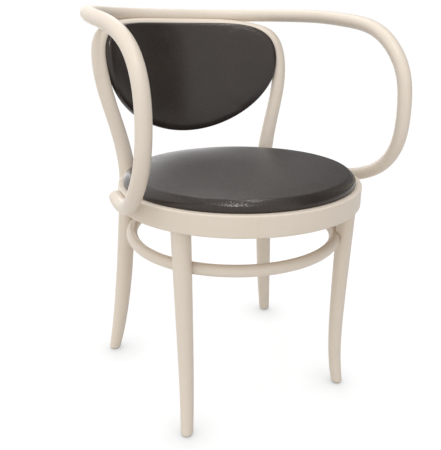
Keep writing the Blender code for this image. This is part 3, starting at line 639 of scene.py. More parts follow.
def let_in(points, path, other, heights):
    """Between two heights, what lies inside another rod is drawn towards this rod's own axis until it
    is just outside the other one: the share of the way is found by halving, again and again."""
    row, column = np.nonzero((points[..., 2] > heights[0]) & (points[..., 2] < heights[1]))
    inside = rod_gap(points[row, column], other) < GAP
    row, column = row[inside], column[inside]
    here, axis = points[row, column], path[row, :3]
    least, most = np.zeros((len(row), 1)), np.ones((len(row), 1))
    for _ in range(HALVINGS):
        half = (least + most) / 2
        within = rod_gap(here + (axis - here) * half, other)[:, None] < GAP
        least, most = np.where(within, half, least), np.where(within, most, half)
    points[row, column] = here + (axis - here) * most
    return points


print("pieces that meet stay", GAP, "apart")

# %% [markdown]
# ## Centre lines of the legs and the stretcher
# A front leg draws in a little under the seat and flares at the foot. A rear leg leans out and back. The
# stretcher is round in front and drawn out behind, so that it meets the rear legs, and it is let into
# all four legs: the legs get the groove. The lines could be drawn by eye, but as formulas of the height
# they tell the stretcher where each leg is.

# %% Leg and stretcher lines
FRONT_LEG_ANGLE, FRONT_LEG_REACH = radians(-33.9), 0.2121
FRONT_LEG_DRAW_IN, FRONT_LEG_FLARE, FRONT_LEG_TURN, FLARE_POWER = 0.008, 0.0157, 0.006, 6
FRONT_LEG_RADIUS, FRONT_LEG_TAPER, TAPER_POWER = 0.0173, 0.0054, 1.2
REAR_LEG_ANGLE, REAR_LEG_REACH = radians(47.1), 0.248
REAR_LEG_SPLAY, REAR_LEG_KICK = 0.0395, 0.0241
REAR_LEG_RADIUS, CALF_SWELL, ANKLE_TAPER, ANKLE_POWER = 0.0174, 0.0004, 0.0048, 1.5
SEAT_BOLT_HEIGHT = 0.4314
STRETCHER_RADIUS, STRETCHER_HEIGHT, STRETCHER_BACK = 0.0109, 0.3361, 0.0214
FRONT_LET_IN, REAR_LET_IN = 0.0090, 0.0012
STRETCHER_SPAN = 0.30, 0.37
STRETCHER_STEPS = 300


def front_leg_line(height):
    """Reach shrinks evenly with the drop below the seat and grows with the drop's sixth power."""
    drop = np.clip(1 - height / RING_BOTTOM, 0, None)
    reach = FRONT_LEG_REACH + FRONT_LEG_FLARE * drop ** FLARE_POWER - FRONT_LEG_DRAW_IN * drop
    turned = FRONT_LEG_TURN * drop ** FLARE_POWER
    along, across = cos(FRONT_LEG_ANGLE), sin(FRONT_LEG_ANGLE)
    radius = FRONT_LEG_RADIUS - FRONT_LEG_TAPER * drop ** TAPER_POWER
    return np.stack([along * reach + across * turned, across * reach - along * turned,
                     height, radius], axis=-1)


def rear_leg_line(height):
    """Reach grows with the drop below the bolt and with its cube; the calf is thickest half way."""
    drop = 1 - height / SEAT_BOLT_HEIGHT
    reach = REAR_LEG_REACH + REAR_LEG_SPLAY * drop + REAR_LEG_KICK * drop ** 3
    radius = REAR_LEG_RADIUS + CALF_SWELL * np.minimum(2 * drop, 1)
    radius = radius - ANKLE_TAPER * np.clip(2 * drop - 1, 0, None) ** ANKLE_POWER
    return np.stack([reach * cos(REAR_LEG_ANGLE), reach * sin(REAR_LEG_ANGLE), height, radius], axis=-1)


def stretcher_line():
    """A half circle in front and half of a longer ellipse behind, through both pairs of legs."""
    middle = np.array([0.0, STRETCHER_BACK])
    front = front_leg_line(np.array(STRETCHER_HEIGHT))
    rear = rear_leg_line(np.array(STRETCHER_HEIGHT))
    half_width = np.linalg.norm(front[:2] - middle) - front[3] - STRETCHER_RADIUS + FRONT_LET_IN
    toward = rear[:2] - middle
    distance = np.linalg.norm(toward)
    meet = toward * (distance - rear[3] - STRETCHER_RADIUS + REAR_LET_IN) / distance
    half_depth = meet[1] / sqrt(1 - (meet[0] / half_width) ** 2)
    turn = np.linspace(0, tau, STRETCHER_STEPS, endpoint=False) - pi / 2
    depth = np.where(np.sin(turn) > 0, half_depth, half_width)
    flat = np.ones(STRETCHER_STEPS)
    return np.column_stack([half_width * np.cos(turn), STRETCHER_BACK + depth * np.sin(turn),
                            flat * STRETCHER_HEIGHT, flat * STRETCHER_RADIUS])


STRETCHER = stretcher_line()
print("stretcher spans", np.ptp(STRETCHER[:, 0]).round(3), "by", np.ptp(STRETCHER[:, 1]).round(3))

# %% [markdown]
# ## Stretcher and front legs
# The foot of each leg gets a small chamfer, as a turner leaves it so that the end doesn't splinter. The
# sections of a leg lie close together beside the stretcher, where the groove has to come out crisp. Each
# rod's grain starts at another place, so that no two rods have the same figure.

# %% Stretcher and front legs
FOOT_HEIGHT, CHAMFER = 0.0043, 0.0011
GROOVE_LOW, GROOVE_HIGH, GROOVE_STEP, GROOVE_MARGIN = 0.319, 0.354, 0.0009, 0.001
STEPS_BELOW, STEPS_ABOVE = 70, 14


def chamfered(path):
    """The same path with its first section drawn in, and a full section just above it."""
    foot, above = path[0].copy(), path[0].copy()
    above[:3] += (path[1] - path[0])[:3] * CHAMFER / np.linalg.norm((path[1] - path[0])[:3])
    foot[3] -= CHAMFER
    return np.concatenate([[foot, above], path[1:]])


points, grain = rod_surface(STRETCHER, ring=True, start=3.0)
stretcher = beech_piece("stretcher_bent", points, grain, "stretcher_ring", ring=True)
print("stretcher", len(stretcher.data.polygons), "faces")

heights = np.concatenate([np.linspace(FOOT_HEIGHT, GROOVE_LOW - GROOVE_MARGIN, STEPS_BELOW),
                          np.arange(GROOVE_LOW, GROOVE_HIGH, GROOVE_STEP),
                          np.linspace(GROOVE_HIGH + GROOVE_MARGIN, RING_BOTTOM - GAP, STEPS_ABOVE)])
for node, side, start in (("front_leg_left", 1, 5.0), ("front_leg_right", -1, 6.3)):
    path = chamfered(front_leg_line(heights) * [side, 1, 1, 1])
    points, grain = rod_surface(path, start=start)
    points = let_in(levelled(points, path), path, STRETCHER, STRETCHER_SPAN)
    leg = beech_piece(node + "_turned", points, grain, node, ends=path[[0, -1], :3])
    print(node, len(leg.data.polygons), "faces")

# %% [markdown]
# ## Arm hoop
# One long rod makes both arms and the rail behind the back. It starts along the side of the seat ring,
# swings forwards and up in a C, turns back over the elbow, and runs round behind the sitter. Points
# placed by eye could trace it, but a power curve has one number for how square a bend is. So each
# stretch is a power curve, and a spline through stations on them joins the stretches without a kink.

# %% Arm hoop
ARM_RADIUS = 0.0127
ARM_FRONT_HALF_WIDTH, ARM_FRONT_REACH, ARM_FRONT_HEIGHT = 0.2486, 0.1660, 0.584
ELBOW_HALF_WIDTH, ELBOW_BACK = 0.2573, 0.0203
BEND_TOP_BACK, BEND_TOP_HEIGHT = 0.0865, 0.744
RAIL_HEIGHT, RAIL_BACK = 0.7565, 0.3035
ARM_SEAT_REACH, ARM_SEAT_ANGLE, ARM_SEAT_HEIGHT = 0.2422, radians(2.2), 0.4361
ARM_END_ANGLE, ARM_END_RISE = radians(5.8), np.array([0.0034, 0.0013, 0.0])
ARM_SEAT_BACK = ARM_SEAT_REACH * sin(ARM_SEAT_ANGLE)
LOWER_POWER, UPPER_POWER, RAIL_WIDE_POWER, RAIL_DEEP_POWER = 2 / 2.25, 2 / 2.6, 2 / 2.6, 2 / 1.85
# Places of the stations along each stretch, and how far the rod stands outside the front of the arm there.
LOWER_TURNS, LOWER_SPREADS = np.radians([68, 45, 22, 0]), np.array([0.0005, 0.0062, 0.0042, 0.0])
UPPER_PARTS = np.array([0.25, 0.5, 0.75, 1.0])
UPPER_SPREADS = np.array([-0.0022, -0.0018, 0.0040, ELBOW_HALF_WIDTH - ARM_FRONT_HALF_WIDTH])
RAIL_TURNS = np.radians([15, 32, 50, 68, 80, 90])
DOME_DEPTH, DOME_TURNS = 0.5, np.radians(np.linspace(84, 8, 8))


def lower_bend(turn, spread):
    """From the seat (a right angle) to the front of the arm (0): powers of the cosine and sine."""
    back = ARM_SEAT_BACK - (ARM_SEAT_BACK + ARM_FRONT_REACH) * np.cos(turn) ** LOWER_POWER
    height = ARM_FRONT_HEIGHT - (ARM_FRONT_HEIGHT - ARM_SEAT_HEIGHT) * np.sin(turn) ** LOWER_POWER
    return np.column_stack([ARM_FRONT_HALF_WIDTH + spread, back, height])


def upper_bend(part, spread):
    """From the front of the arm (0) to the elbow (1): powers of the cosine and sine, as far round as
    brings the rod back to the elbow."""
    length = BEND_TOP_BACK + ARM_FRONT_REACH
    turn = part * np.arccos(((BEND_TOP_BACK - ELBOW_BACK) / length) ** (1 / UPPER_POWER))
    back = BEND_TOP_BACK - length * np.cos(turn) ** UPPER_POWER
    height = ARM_FRONT_HEIGHT + (BEND_TOP_HEIGHT - ARM_FRONT_HEIGHT) * np.sin(turn) ** UPPER_POWER
    return np.column_stack([ARM_FRONT_HALF_WIDTH + spread, back, height])


def rail(turn, elbow_height):
    """From the elbow (0) round to the middle of the rail (a right angle), rising a little: most of the
    rise, by a fourth power, comes early."""
    rise = 1 - (1 - turn / (pi / 2)) ** 4
    return np.column_stack([ELBOW_HALF_WIDTH * np.clip(np.cos(turn), 0, None) ** RAIL_WIDE_POWER,
                            ELBOW_BACK + (RAIL_BACK - ELBOW_BACK) * np.sin(turn) ** RAIL_DEEP_POWER,
                            elbow_height + (RAIL_HEIGHT - elbow_height) * rise])


def domed(tip, before):
    """Sections beyond the tip of a rod that shrink like a ball pressed to half its depth."""
    outward = (tip - before)[:3] / np.linalg.norm((tip - before)[:3])
    centre = tip[:3] + outward * (DOME_DEPTH * tip[3] * np.sin(DOME_TURNS))[:, None]
    return np.column_stack([centre, tip[3] * np.cos(DOME_TURNS)])


def arm_line():
    """The whole rod, end to end, with domed ends."""
    angle = np.linspace(ARM_END_ANGLE, ARM_SEAT_ANGLE, 3)
    along_ring = np.column_stack([ARM_SEAT_REACH * np.cos(angle), ARM_SEAT_REACH * np.sin(angle),
                                  ARM_SEAT_HEIGHT + ARM_END_RISE])
    low = lower_bend(LOWER_TURNS, LOWER_SPREADS)
    high = upper_bend(UPPER_PARTS, UPPER_SPREADS)
    round_back = rail(RAIL_TURNS, high[-1, 2])
    half = np.concatenate([along_ring, low, high, round_back])
    path = spline_path(both_sides(np.column_stack([half, np.full(len(half), ARM_RADIUS)])))
    return np.concatenate([domed(path[0], path[1]), path, domed(path[-1], path[-2])[::-1]])


ARM_LINE = arm_line()
points, grain = rod_surface(ARM_LINE, start=9.0)
points = clear_of_ring(points)
arms = beech_piece("arm_hoop_bent", points, grain, "arm_hoop", ends=points[[0, -1]].mean(axis=1))
print("arm hoop", len(arms.data.polygons), "faces along", len(ARM_LINE), "sections")

# %% [markdown]
# ## Back hoop
# The second long rod is both rear legs and the frame of the back. It is notched over the seat ring, is
# thinner from there up, and its crest lies under the rail. The back pad is let into its front by a few
# millimetres, so the part of the rod inside the pad's outline is moved back to the pad's rear face.

# %% Back hoop
HOOP_RADIUS = 0.0150
CREST_APART, CREST_LEAN = 0.0267, radians(57)
CREST_HEIGHT = RAIL_HEIGHT - CREST_APART * sin(CREST_LEAN)
CREST_BACK = RAIL_BACK - CREST_APART * cos(CREST_LEAN)
HOOP_WAIST = 0.1860, 0.1790, 0.540
HOOP_HALF_WIDTH, HOOP_CROWN, HOOP_POWER, HOOP_FACE = 0.2075, 0.077, 2 / 3.9, 0.0115
HOOP_TURNS = np.radians([0, 28, 48, 66, 80, 90])
RAIL_SPAN = 0.70, 0.80
BACK_RADIUS, BACK_RAKE = 0.2905, 0.18
PAD_OVER_CREST, PAD_SHOULDER_DROP = 0.0061, 0.0650
PAD_HALF_WIDTH, PAD_TOP, PAD_BOTTOM = 0.1992, CREST_HEIGHT + PAD_OVER_CREST, 0.510
PAD_WIDEST = CREST_HEIGHT - PAD_SHOULDER_DROP
PAD_WIDE_POWER, PAD_HIGH_POWER = 6.2, 2.4
PAD_LIP = 0.0025


def back_axis(height):
    """The back is bent round a raked upright axis, which lies further back the higher it is."""
    return CREST_BACK - HOOP_FACE - BACK_RADIUS + BACK_RAKE * (height - CREST_HEIGHT)


def on_back(across, height, depth):
    """A place on the bent back: across and height on its rear face, depth towards the sitter."""
    turn = np.arcsin(across / BACK_RADIUS)
    reach = BACK_RADIUS - depth
    return np.stack([reach * np.sin(turn), back_axis(height) + reach * np.cos(turn),
                     height + 0 * turn], axis=-1)


def hoop_line():
    """Legs, waist and a squarish top, whose width and height are powers of cosine and sine, joined by a
    spline and cut off level at the feet."""
    legs = rear_leg_line(np.linspace(-2 * FOOT_HEIGHT, SEAT_BOLT_HEIGHT, 6))
    across = HOOP_HALF_WIDTH * np.clip(np.cos(HOOP_TURNS), 0, None) ** HOOP_POWER
    height = CREST_HEIGHT - HOOP_CROWN + HOOP_CROWN * np.sin(HOOP_TURNS) ** HOOP_POWER
    crown = on_back(across * BACK_RADIUS / (BACK_RADIUS + HOOP_FACE), height, -HOOP_FACE)
    above_seat = np.concatenate([[HOOP_WAIST], crown])
    half = np.concatenate([legs, np.column_stack([above_seat, np.full(len(above_seat), HOOP_RADIUS)])])
    path = spline_path(both_sides(half))
    first = int(np.argmax(path[:, 2] > FOOT_HEIGHT))
    below, above = path[first - 1], path[first]
    foot = below + (above - below) * (FOOT_HEIGHT - below[2]) / (above[2] - below[2])
    return np.concatenate([[foot], path[first:len(path) - first], [foot * [-1, 1, 1, 1]]])


def inside_pad(across, height, grow):
    """Below 1 within the D outline: two higher powers above the widest place, an ellipse below it."""
    wide = np.abs(across) / (PAD_HALF_WIDTH + grow)
    up = np.clip((height - PAD_WIDEST) / (PAD_TOP + grow - PAD_WIDEST), 0, None)
    down = np.clip((PAD_WIDEST - height) / (PAD_WIDEST - PAD_BOTTOM + grow), 0, None)
    above = wide ** PAD_WIDE_POWER + up ** PAD_HIGH_POWER
    return np.where(height > PAD_WIDEST, above, wide ** 2 + down ** 2)


def clear_of_pad(points):
    """Inside the pad's outline, what is in front of the pad's rear face goes back on to that face."""
    axis = back_axis(points[..., 2])
    reach = np.hypot(points[..., 0], points[..., 1] - axis)
    turn = np.arctan2(points[..., 0], points[..., 1] - axis)
    within = inside_pad(BACK_RADIUS * np.sin(turn), points[..., 2], -PAD_LIP) < 1
    wanted = np.where(within & (reach < BACK_RADIUS + GAP), BACK_RADIUS + GAP, reach)
    return np.stack([wanted * np.sin(turn), axis + wanted * np.cos(turn), points[..., 2]], axis=-1)


path = chamfered(chamfered(hoop_line())[::-1])[::-1]
points, grain = rod_surface(path, start=14.0)
points = clear_of_ring(levelled(points, path))
points = let_in(points, path, STRETCHER, STRETCHER_SPAN)
points = let_in(points, path, ARM_LINE, RAIL_SPAN)
points = clear_of_pad(points)
hoop = beech_piece("back_hoop_bent", points, grain, "back_hoop", ends=path[[0, -1], :3])
print("back hoop", len(hoop.data.polygons), "faces along", len(path), "sections")

# %% [markdown]
# ## Grids for the pads
# A pad has no seam-free way to spread out from a pole, and crowded points at a pole would spoil the
# cloth that follows. So a square grid is used, whose nested squares become nested loops of the pad.
# A front and a rear sheet share the outermost loop, which closes the pad.

# %% Pad grids
WEAR_FADE = 3


def nested_loops(count):
    """For each point of a square grid: which nested square it is on, and how far round it (0 to 1)."""
    steps = np.arange(-count, count + 1)
    across, up = np.meshgrid(steps, steps)
    loop = np.maximum(np.abs(across), np.abs(up))
    whole = np.maximum(loop, 1)
    place = np.select(
        [across == loop, up == loop, across == -loop],
        [up / whole / 8, 0.25 - across / whole / 8, 0.5 - up / whole / 8],
        0.75 + across / whole / 8)
    return loop, place % 1.0


def pad_piece(name, front, rear, loop, node, finish=LEATHER, worn_loops=0):
    """Two sheets of points on one square grid, joined along the outermost loop. Each point keeps the
    number of its loop, counted on over the edge to the rear, and how worn it is."""
    size = loop.shape[0]
    first = np.arange(size * size).reshape(size, size)
    inner = loop < loop.max()
    second = first.copy()
    second[inner] = size * size + np.arange(np.count_nonzero(inner))
    verts = np.concatenate([front.reshape(-1, 3), rear[inner]])
    quads = np.concatenate([quads_of(first), quads_of(second)[:, ::-1]])
    piece = add_piece(name, verts, quads, np.zeros((0, 3), int), finish, [node])
    number = np.concatenate([loop.ravel(), 2 * loop.max() - loop[inner]])
    rubbed = np.clip((worn_loops - number) / WEAR_FADE, 0, 1)
    for word, values in (("loop", number), ("worn", rubbed)):
        field = piece.data.attributes.new(word, "FLOAT", "POINT")
        field.data.foreach_set("value", values.astype(np.float32))
    return piece


print("nested squares become the loops of a pad")

# %% [markdown]
# ## Stuffing
# A cover is blown up as cloth with air inside, which gives it the swell of leather over foam. Thin cloth
# also folds, where taut foam would fill the folds, so only the smoothed swell is kept: it is capped,
# averaged with its neighbours and laid on along the normals of the plain shape.

# %% Stuffing
CLOTH_FRAMES = 20
AIR_PRESSURE = 4.0
EVENING_ROUNDS = 14


def read(items, field, width=3):
    """One field of every item of a mesh as an array."""
    values = np.empty(len(items) * width, np.float32)
    items.foreach_get(field, values)
    return values.reshape(-1, width).astype(float)


def places_and_normals(mesh):
    """Where each vertex is, and which way it faces."""
    return read(mesh.vertices, "co"), read(mesh.vertex_normals, "vector")


def loop_numbers(mesh):
    """Which loop of its pad each vertex is on."""
    return read(mesh.attributes["loop"].data, "value", 1)[:, 0]


def evened(amount, free):
    """Each free point of the grid takes the mean of its three by three neighbours, some rounds over."""
    for _ in range(EVENING_ROUNDS):
        wide = np.pad(amount, 1, mode="edge")
        rows = wide[:-2] + wide[1:-1] + wide[2:]
        amount = (rows[:, :-2] + rows[:, 1:-1] + rows[:, 2:]) / 9 * free
    return amount


def stuffed(piece, held_from, cap):
    """Run the cloth with the loops beyond one number held, and move the front sheet out by the smoothed
    swell: the cap times the hyperbolic tangent of swell over cap, evened out."""
    rest, normal = places_and_normals(piece.data)
    held = loop_numbers(piece.data) > held_from
    group = piece.vertex_groups.new(name="held")
    group.add(np.flatnonzero(held).tolist(), 1.0, "REPLACE")
    cloth = piece.modifiers.new("cloth", "CLOTH")
    cloth.settings.use_pressure = True
    cloth.settings.uniform_pressure_force = AIR_PRESSURE
    cloth.settings.vertex_group_mass = "held"
    cloth.settings.effector_weights.gravity = 0.0
    cloth.collision_settings.use_collision = False
    for number in range(1, CLOTH_FRAMES + 1):
        bpy.context.scene.frame_set(number)
    blown = read(piece.evaluated_get(bpy.context.evaluated_depsgraph_get()).data.vertices, "co")
    piece.modifiers.remove(cloth)
    piece.vertex_groups.remove(group)
    bpy.context.scene.frame_set(1)
    swell = np.sum((blown - rest) * normal, axis=1)
    size = int(sqrt(len(rest) / 2)) + 1
    free = ~held[:size * size].reshape(size, size)
    grid = cap * np.tanh(swell[:size * size].reshape(size, size) / cap) * free
    grid = evened(grid, free)
    rest[:size * size] += normal[:size * size] * grid.reshape(-1, 1)
    piece.data.vertices.foreach_set("co", rest.astype(np.float32).ravel())
    piece.data.update()
    return grid


def subdivided(piece):
    """One subdivision, applied: smoother loops, and a mesh fine enough for puckers."""
    finer = piece.modifiers.new("finer", "SUBSURF")
    finer.levels = finer.render_levels = 1
    graph = bpy.context.evaluated_depsgraph_get()
    mesh = bpy.data.meshes.new_from_object(piece.evaluated_get(graph))
    piece.modifiers.remove(finer)
    piece.data = mesh
    return mesh


def ripple(turn, waves, seed):
    """A row of small puckers: nine sines of nearly equal pitch, whose sum comes and goes round the pad,
    over the square root of nine."""
    dice = np.random.default_rng(seed)
    pitch = np.round(waves * dice.uniform(0.82, 1.18, 9))
    phase = dice.uniform(0, tau, 9)
    return np.sin(turn[:, None] * pitch + phase).sum(axis=1) / 3


print("pad helpers ready")

# %% [markdown]
# ## Seat pad
# Foam under leather: a round top sewn to a side that rolls down on to the ring. The plain shape starts a
# little low and the cloth pass swells the top. Where the leather is pulled round the roll it puckers,
# so a row of shallow ripples is pressed in last, because swelling would wipe it out.

# %% Seat pad
SEAT_EDGE, SEAT_FOOT, SEAT_CROWN = 0.2092, 0.4511, 0.0036
SIDE_RADIUS, SIDE_START, SIDE_END = 0.0196, radians(72), radians(-10)
TOP_LOOPS, SIDE_LOOPS, LOOP_CROWDING = 32, 16, 1.2
SEAT_SWELL_CAP, SEAT_HELD_FROM = 0.0024, 0.6


def seat_profile():
    """Radius and height of each loop: a crowned top, then an arc that starts with a kink at the seam."""
    part = 1 - (1 - np.linspace(0, 1, TOP_LOOPS + 1)) ** LOOP_CROWDING
    turn = np.linspace(SIDE_START, SIDE_END, SIDE_LOOPS + 1)[1:]
    brim = SEAT_FOOT + SIDE_RADIUS * (sin(SIDE_START) - sin(SIDE_END))
    top = np.column_stack([SEAT_EDGE * part, brim + SEAT_CROWN * (1 - part ** 2)])
    side = np.column_stack([np.cos(turn) - cos(SIDE_START), np.sin(turn) - sin(SIDE_START)])
    return np.concatenate([top, side * SIDE_RADIUS + [SEAT_EDGE, brim]])


loop, place = nested_loops(TOP_LOOPS + SIDE_LOOPS)
profile = seat_profile()
front = round_points(profile[loop, 0], tau * place, profile[loop, 1])
rear = round_points(profile[-1, 0] * loop / loop.max(), tau * place, SEAT_FOOT)
seat_pad = pad_piece("seat_pad_cover", front, rear, loop, "seat_pad", worn_loops=TOP_LOOPS + 2)
swell = stuffed(seat_pad, TOP_LOOPS + SEAT_HELD_FROM * SIDE_LOOPS, SEAT_SWELL_CAP)
print("seat pad swelled by up to", swell.max().round(4))

# %% Seat puckers
PUCKER_DEPTH, PUCKER_COUNT, PUCKER_SEED = 0.00011, 185, 4
PUCKER_PLACE, PUCKER_WIDTH = 0.33, 0.20
mesh = subdivided(seat_pad)
spot, normal = places_and_normals(mesh)
beyond = (loop_numbers(mesh) - TOP_LOOPS) / SIDE_LOOPS
turn = np.arctan2(spot[:, 1] - SEAT_MIDDLE[1], spot[:, 0])
pucker = ripple(turn, PUCKER_COUNT, PUCKER_SEED) * np.exp(-((beyond - PUCKER_PLACE) / PUCKER_WIDTH) ** 2)
spot += normal * PUCKER_DEPTH * pucker[:, None]
mesh.vertices.foreach_set("co", spot.astype(np.float32).ravel())
mesh.shade_smooth()
mesh.update()
print("seat pad", len(mesh.polygons), "faces, top at", spot[:, 2].max().round(4))

# %% [markdown]
# ## Back pad
# The back pad is a D-shaped panel bent round the sitter. Its cover is drawn over the edge of a moulded
# board and tucked in behind, so the rim is a roll and the rear face has a recess for the board. A flat
# pad could be bent by a modifier, but loops that are worked out on the bent back fit the hoop and board.

# %% Back pad
PAD_THICKNESS, PAD_ROLL, ROLL_DEPTH, TOP_TIGHTER = 0.018, 0.0145, 0.0098, 0.56
PAD_REAR_ROLL, PAD_WRAP, BOARD_THICKNESS = 0.002, 0.0035, 0.007
RECESS_INSET, RECESS_DEPTH = PAD_WRAP - GAP, BOARD_THICKNESS + GAP
PAD_CROWN, SIDE_DEPTHS = 0.0016, (0.0060, 0.0040)
FACE_LOOPS, ROLL_LOOPS, TUCK_LOOPS = 28, 12, 4
BACK_SWELL_CAP, BACK_HELD_LOOPS = 0.0030, 3.5
OUTLINE_STEPS = 900


def pad_outline(inset, place):
    """The D outline, drawn in by an inset, read at places (0 to 1) evenly spread along its length. The
    cover is drawn tighter over the top, so the inset is smaller there."""
    turn = np.linspace(0, pi / 2, OUTLINE_STEPS)
    wide = PAD_HALF_WIDTH - inset
    high = PAD_TOP - TOP_TIGHTER * inset - PAD_WIDEST
    top = np.column_stack([wide * np.cos(turn) ** (2 / PAD_WIDE_POWER),
                           high * np.sin(turn) ** (2 / PAD_HIGH_POWER)])
    low = np.column_stack([wide * np.cos(turn), (inset + PAD_BOTTOM - PAD_WIDEST) * np.sin(turn)])
    half = np.concatenate([low[::-1], top[1:]])
    whole = np.concatenate([half, (half * [-1, 1])[-2::-1]])
    gone = distances(whole)
    at = ((place + 0.25) % 1.0) * gone[-1]
    return np.stack([np.interp(at, gone, whole[:, 0]), np.interp(at, gone, whole[:, 1])], axis=-1)


def back_profile():
    """Scale, inset and depth of each loop: crowned face, roll, side, rear roll, tuck and recess wall."""
    part = 1 - (1 - np.linspace(0, 1, FACE_LOOPS + 1)) ** LOOP_CROWDING
    crown = PAD_THICKNESS + PAD_CROWN * (1 - part ** 2)
    face = np.column_stack([part, np.full_like(part, PAD_ROLL), crown])
    turn = np.radians(np.linspace(90, 0, ROLL_LOOPS + 1))[1:]
    roll = np.column_stack([np.ones_like(turn), PAD_ROLL * (1 - np.cos(turn)),
                            PAD_THICKNESS - ROLL_DEPTH * (1 - np.sin(turn))])
    side = [[1, 0.0, depth] for depth in SIDE_DEPTHS]
    turn = np.radians(np.linspace(0, 90, TUCK_LOOPS))
    tuck = np.column_stack([np.ones_like(turn), PAD_REAR_ROLL * (1 - np.cos(turn)),
                            PAD_REAR_ROLL * (1 - np.sin(turn))])
    wall = [[1, RECESS_INSET, 0.0], [1, RECESS_INSET, RECESS_DEPTH]]
    return np.concatenate([face, roll, side, tuck, wall])


profile = back_profile()
loop, place = nested_loops(len(profile) - 1)


def pad_points(scale, inset, depth, place):
    """Loops of different inset are kept apart by blending two outlines: plain and fully drawn in."""
    plain, drawn = pad_outline(0.0, place), pad_outline(PAD_ROLL, place)
    outline = plain + (drawn - plain) * (inset / PAD_ROLL)[..., None]
    flat = outline * scale[..., None]
    return on_back(flat[..., 0], PAD_WIDEST + flat[..., 1], depth)


front = pad_points(*(profile[loop, k] for k in range(3)), place)
flat = np.ones(loop.shape)
rear = pad_points(loop / loop.max(), RECESS_INSET * flat, RECESS_DEPTH * flat, place)
back_pad = pad_piece("back_pad_cover", front, rear, loop, "back_pad")
swell = stuffed(back_pad, FACE_LOOPS + ROLL_LOOPS - BACK_HELD_LOOPS, BACK_SWELL_CAP)
print("back pad swelled by up to", swell.max().round(4))

# %% Back pad surface
mesh = subdivided(back_pad)
mesh.shade_smooth()
print("back pad", len(mesh.polygons), "faces")

# %% [markdown]
# ## Boards
# The moulded plywood behind the back pad shows between the rods of the back. It is two bent sheets on
# the same nested loops, joined at the edge. The seat board is flat, so its CAD node stays and only gets
# its finish.

# %% Boards
BOARD_LOOPS = 26
BOARD_EDGE = radians(40)
loop, place = nested_loops(BOARD_LOOPS)
scale = np.minimum(loop / (BOARD_LOOPS - 1), 1.0)
inset = np.full(loop.shape, PAD_WRAP)
front = pad_points(scale, inset, np.where(loop < BOARD_LOOPS, BOARD_THICKNESS, 0.0), place)
rear = pad_points(loop / BOARD_LOOPS, inset, np.zeros(loop.shape), place)
back_board = pad_piece("back_board_moulded", front, rear, loop, "back_board", BACK_PLYWOOD)
back_board.data.set_sharp_from_angle(angle=BOARD_EDGE)
seat_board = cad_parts["seat_board"].data
seat_board.materials.clear()
seat_board.materials.append(SEAT_PLYWOOD)
print("back board", len(back_board.data.polygons), "faces")

# %% [markdown]
# ## Fasteners and glides
# Screws, bolts, washers, nuts and glides are turned pieces. The CAD node tells where each one lies; here
# a finer profile is carried round that axis. A cross or hexagon in a head needs no cutting: in the rows
# of the recess the circle is drawn in to a star or to six flats. The screws have raised oval heads.

# %% Where a turned piece lies
SPIN = np.linspace(0, tau, 48, endpoint=False)
ROUND = np.ones_like(SPIN)
STAR_POWER = 0.7
STAR = (np.abs(np.cos(SPIN)) ** STAR_POWER + np.abs(np.sin(SPIN)) ** STAR_POWER) ** (-1 / STAR_POWER)
HEXAGON = cos(pi / 6) / np.cos(SPIN % (pi / 3) - pi / 6)
RIM_SHARE = 0.95


def lie_of(name, flat=False):
    """Start, axis and length of a turned CAD piece. The mean of its points lies on the axis, which is
    the direction of their largest spread (smallest for a flat piece); the widest end comes first."""
    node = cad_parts[name]
    turned = np.array(node.matrix_world)
    spots = read(node.data.vertices, "co") @ turned[:3, :3].T + turned[:3, 3]
    spots = np.unique(spots.round(6), axis=0)
    middle = spots.mean(axis=0)
    axis = np.linalg.svd(spots - middle)[2][2 if flat else 0]
    along = (spots - middle) @ axis
    reach = np.linalg.norm(spots - middle - along[:, None] * axis, axis=1)
    if along[reach > RIM_SHARE * reach.max()].mean() > 0:
        axis, along = -axis, -along
    return middle + axis * along.min() - SEAT_MIDDLE, axis, np.ptp(along)


def turned_piece(name, profile, lie, finish, open_bore=False):
    """Rows of (distance along the axis, radius, section) carried round the axis of a CAD node."""
    start, axis, _ = lie
    side = np.cross(axis, ASKEW)
    side /= np.linalg.norm(side)
    around = np.outer(np.cos(SPIN), side) + np.outer(np.sin(SPIN), np.cross(axis, side))
    along = np.array([row[0] for row in profile])
    radius = np.array([row[1] * row[2] for row in profile])
    points = start + along[:, None, None] * axis + radius[..., None] * around
    ends = None if open_bore else start + np.outer(along[[0, -1]], axis)
    return grid_piece(name + "_turned", points, finish, [name], ring=open_bore, ends=ends)


print("one profile has", len(SPIN), "sides")

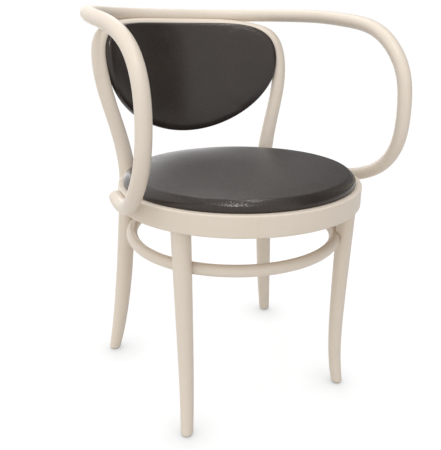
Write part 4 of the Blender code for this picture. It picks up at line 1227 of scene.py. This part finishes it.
# %% Screws, bolts, washers, nuts and glides
def screw_profile(length):
    """Oval head with a cross recess, a cone under it and a plain shank."""
    return [(0.0004, 0.0003, ROUND), (0.0004, 0.0013, STAR), (-0.0009, 0.0019, STAR),
            (-0.0009, 0.0022, ROUND), (-0.0006, 0.0033, ROUND), (-0.0002, 0.0040, ROUND),
            (0.0002, 0.0043, ROUND), (0.0024, 0.0021, ROUND), (length - 0.0015, 0.0021, ROUND),
            (length, 0.0004, ROUND)]


def bolt_profile(length):
    """Round head with a hexagon socket, flat underneath, and a plain shank."""
    return [(0.0026, 0.0003, ROUND), (0.0026, 0.0024, HEXAGON), (0.0001, 0.0026, HEXAGON),
            (0.0002, 0.0034, ROUND), (0.0007, 0.0053, ROUND), (0.0015, 0.0069, ROUND),
            (0.0024, 0.0079, ROUND), (0.0032, 0.0080, ROUND), (0.0032, 0.0030, ROUND),
            (length - 0.0006, 0.0030, ROUND), (length, 0.0024, ROUND)]


def ring_profile(bore, reach, height, section, soft):
    """A flat ring with softened outer edges: a washer when its section is round, a nut when it has flats."""
    return [(0.0, bore, ROUND), (0.0, reach - soft, section), (soft, reach, section),
            (height - soft, reach, section), (height, reach - soft, section), (height, bore, ROUND)]


def glide_profile(length):
    """A disc with rounded edges and a nail."""
    return [(0.0, 0.0040, ROUND), (0.0, 0.0080, ROUND), (0.0003, 0.0088, ROUND),
            (0.0010, 0.0092, ROUND), (0.0036, 0.0092, ROUND), (0.0040, 0.0088, ROUND),
            (0.0040, 0.0013, ROUND), (length, 0.0013, ROUND)]


RINGS = {"washer": ring_profile(0.0033, 0.0075, 0.0015, ROUND, 0.0002),
         "nut": ring_profile(0.0031, 0.0067, 0.0050, HEXAGON, 0.0006)}
SHANKS = {"arm_screw": bolt_profile, "screw": screw_profile, "bolt": bolt_profile}
counted = {}
for name in list(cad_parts):
    kind = next((word for word in (*SHANKS, *RINGS, "glide") if word in name), None)
    if kind is None:
        continue
    lie = lie_of(name, flat=kind in RINGS)
    if kind in RINGS:
        turned_piece(name, RINGS[kind], lie, STEEL, open_bore=True)
    elif kind in SHANKS:
        turned_piece(name, SHANKS[kind](lie[2]), lie, STEEL)
    else:
        turned_piece(name, glide_profile(lie[2]), lie, NYLON)
    counted[kind] = counted.get(kind, 0) + 1
print("turned", counted)
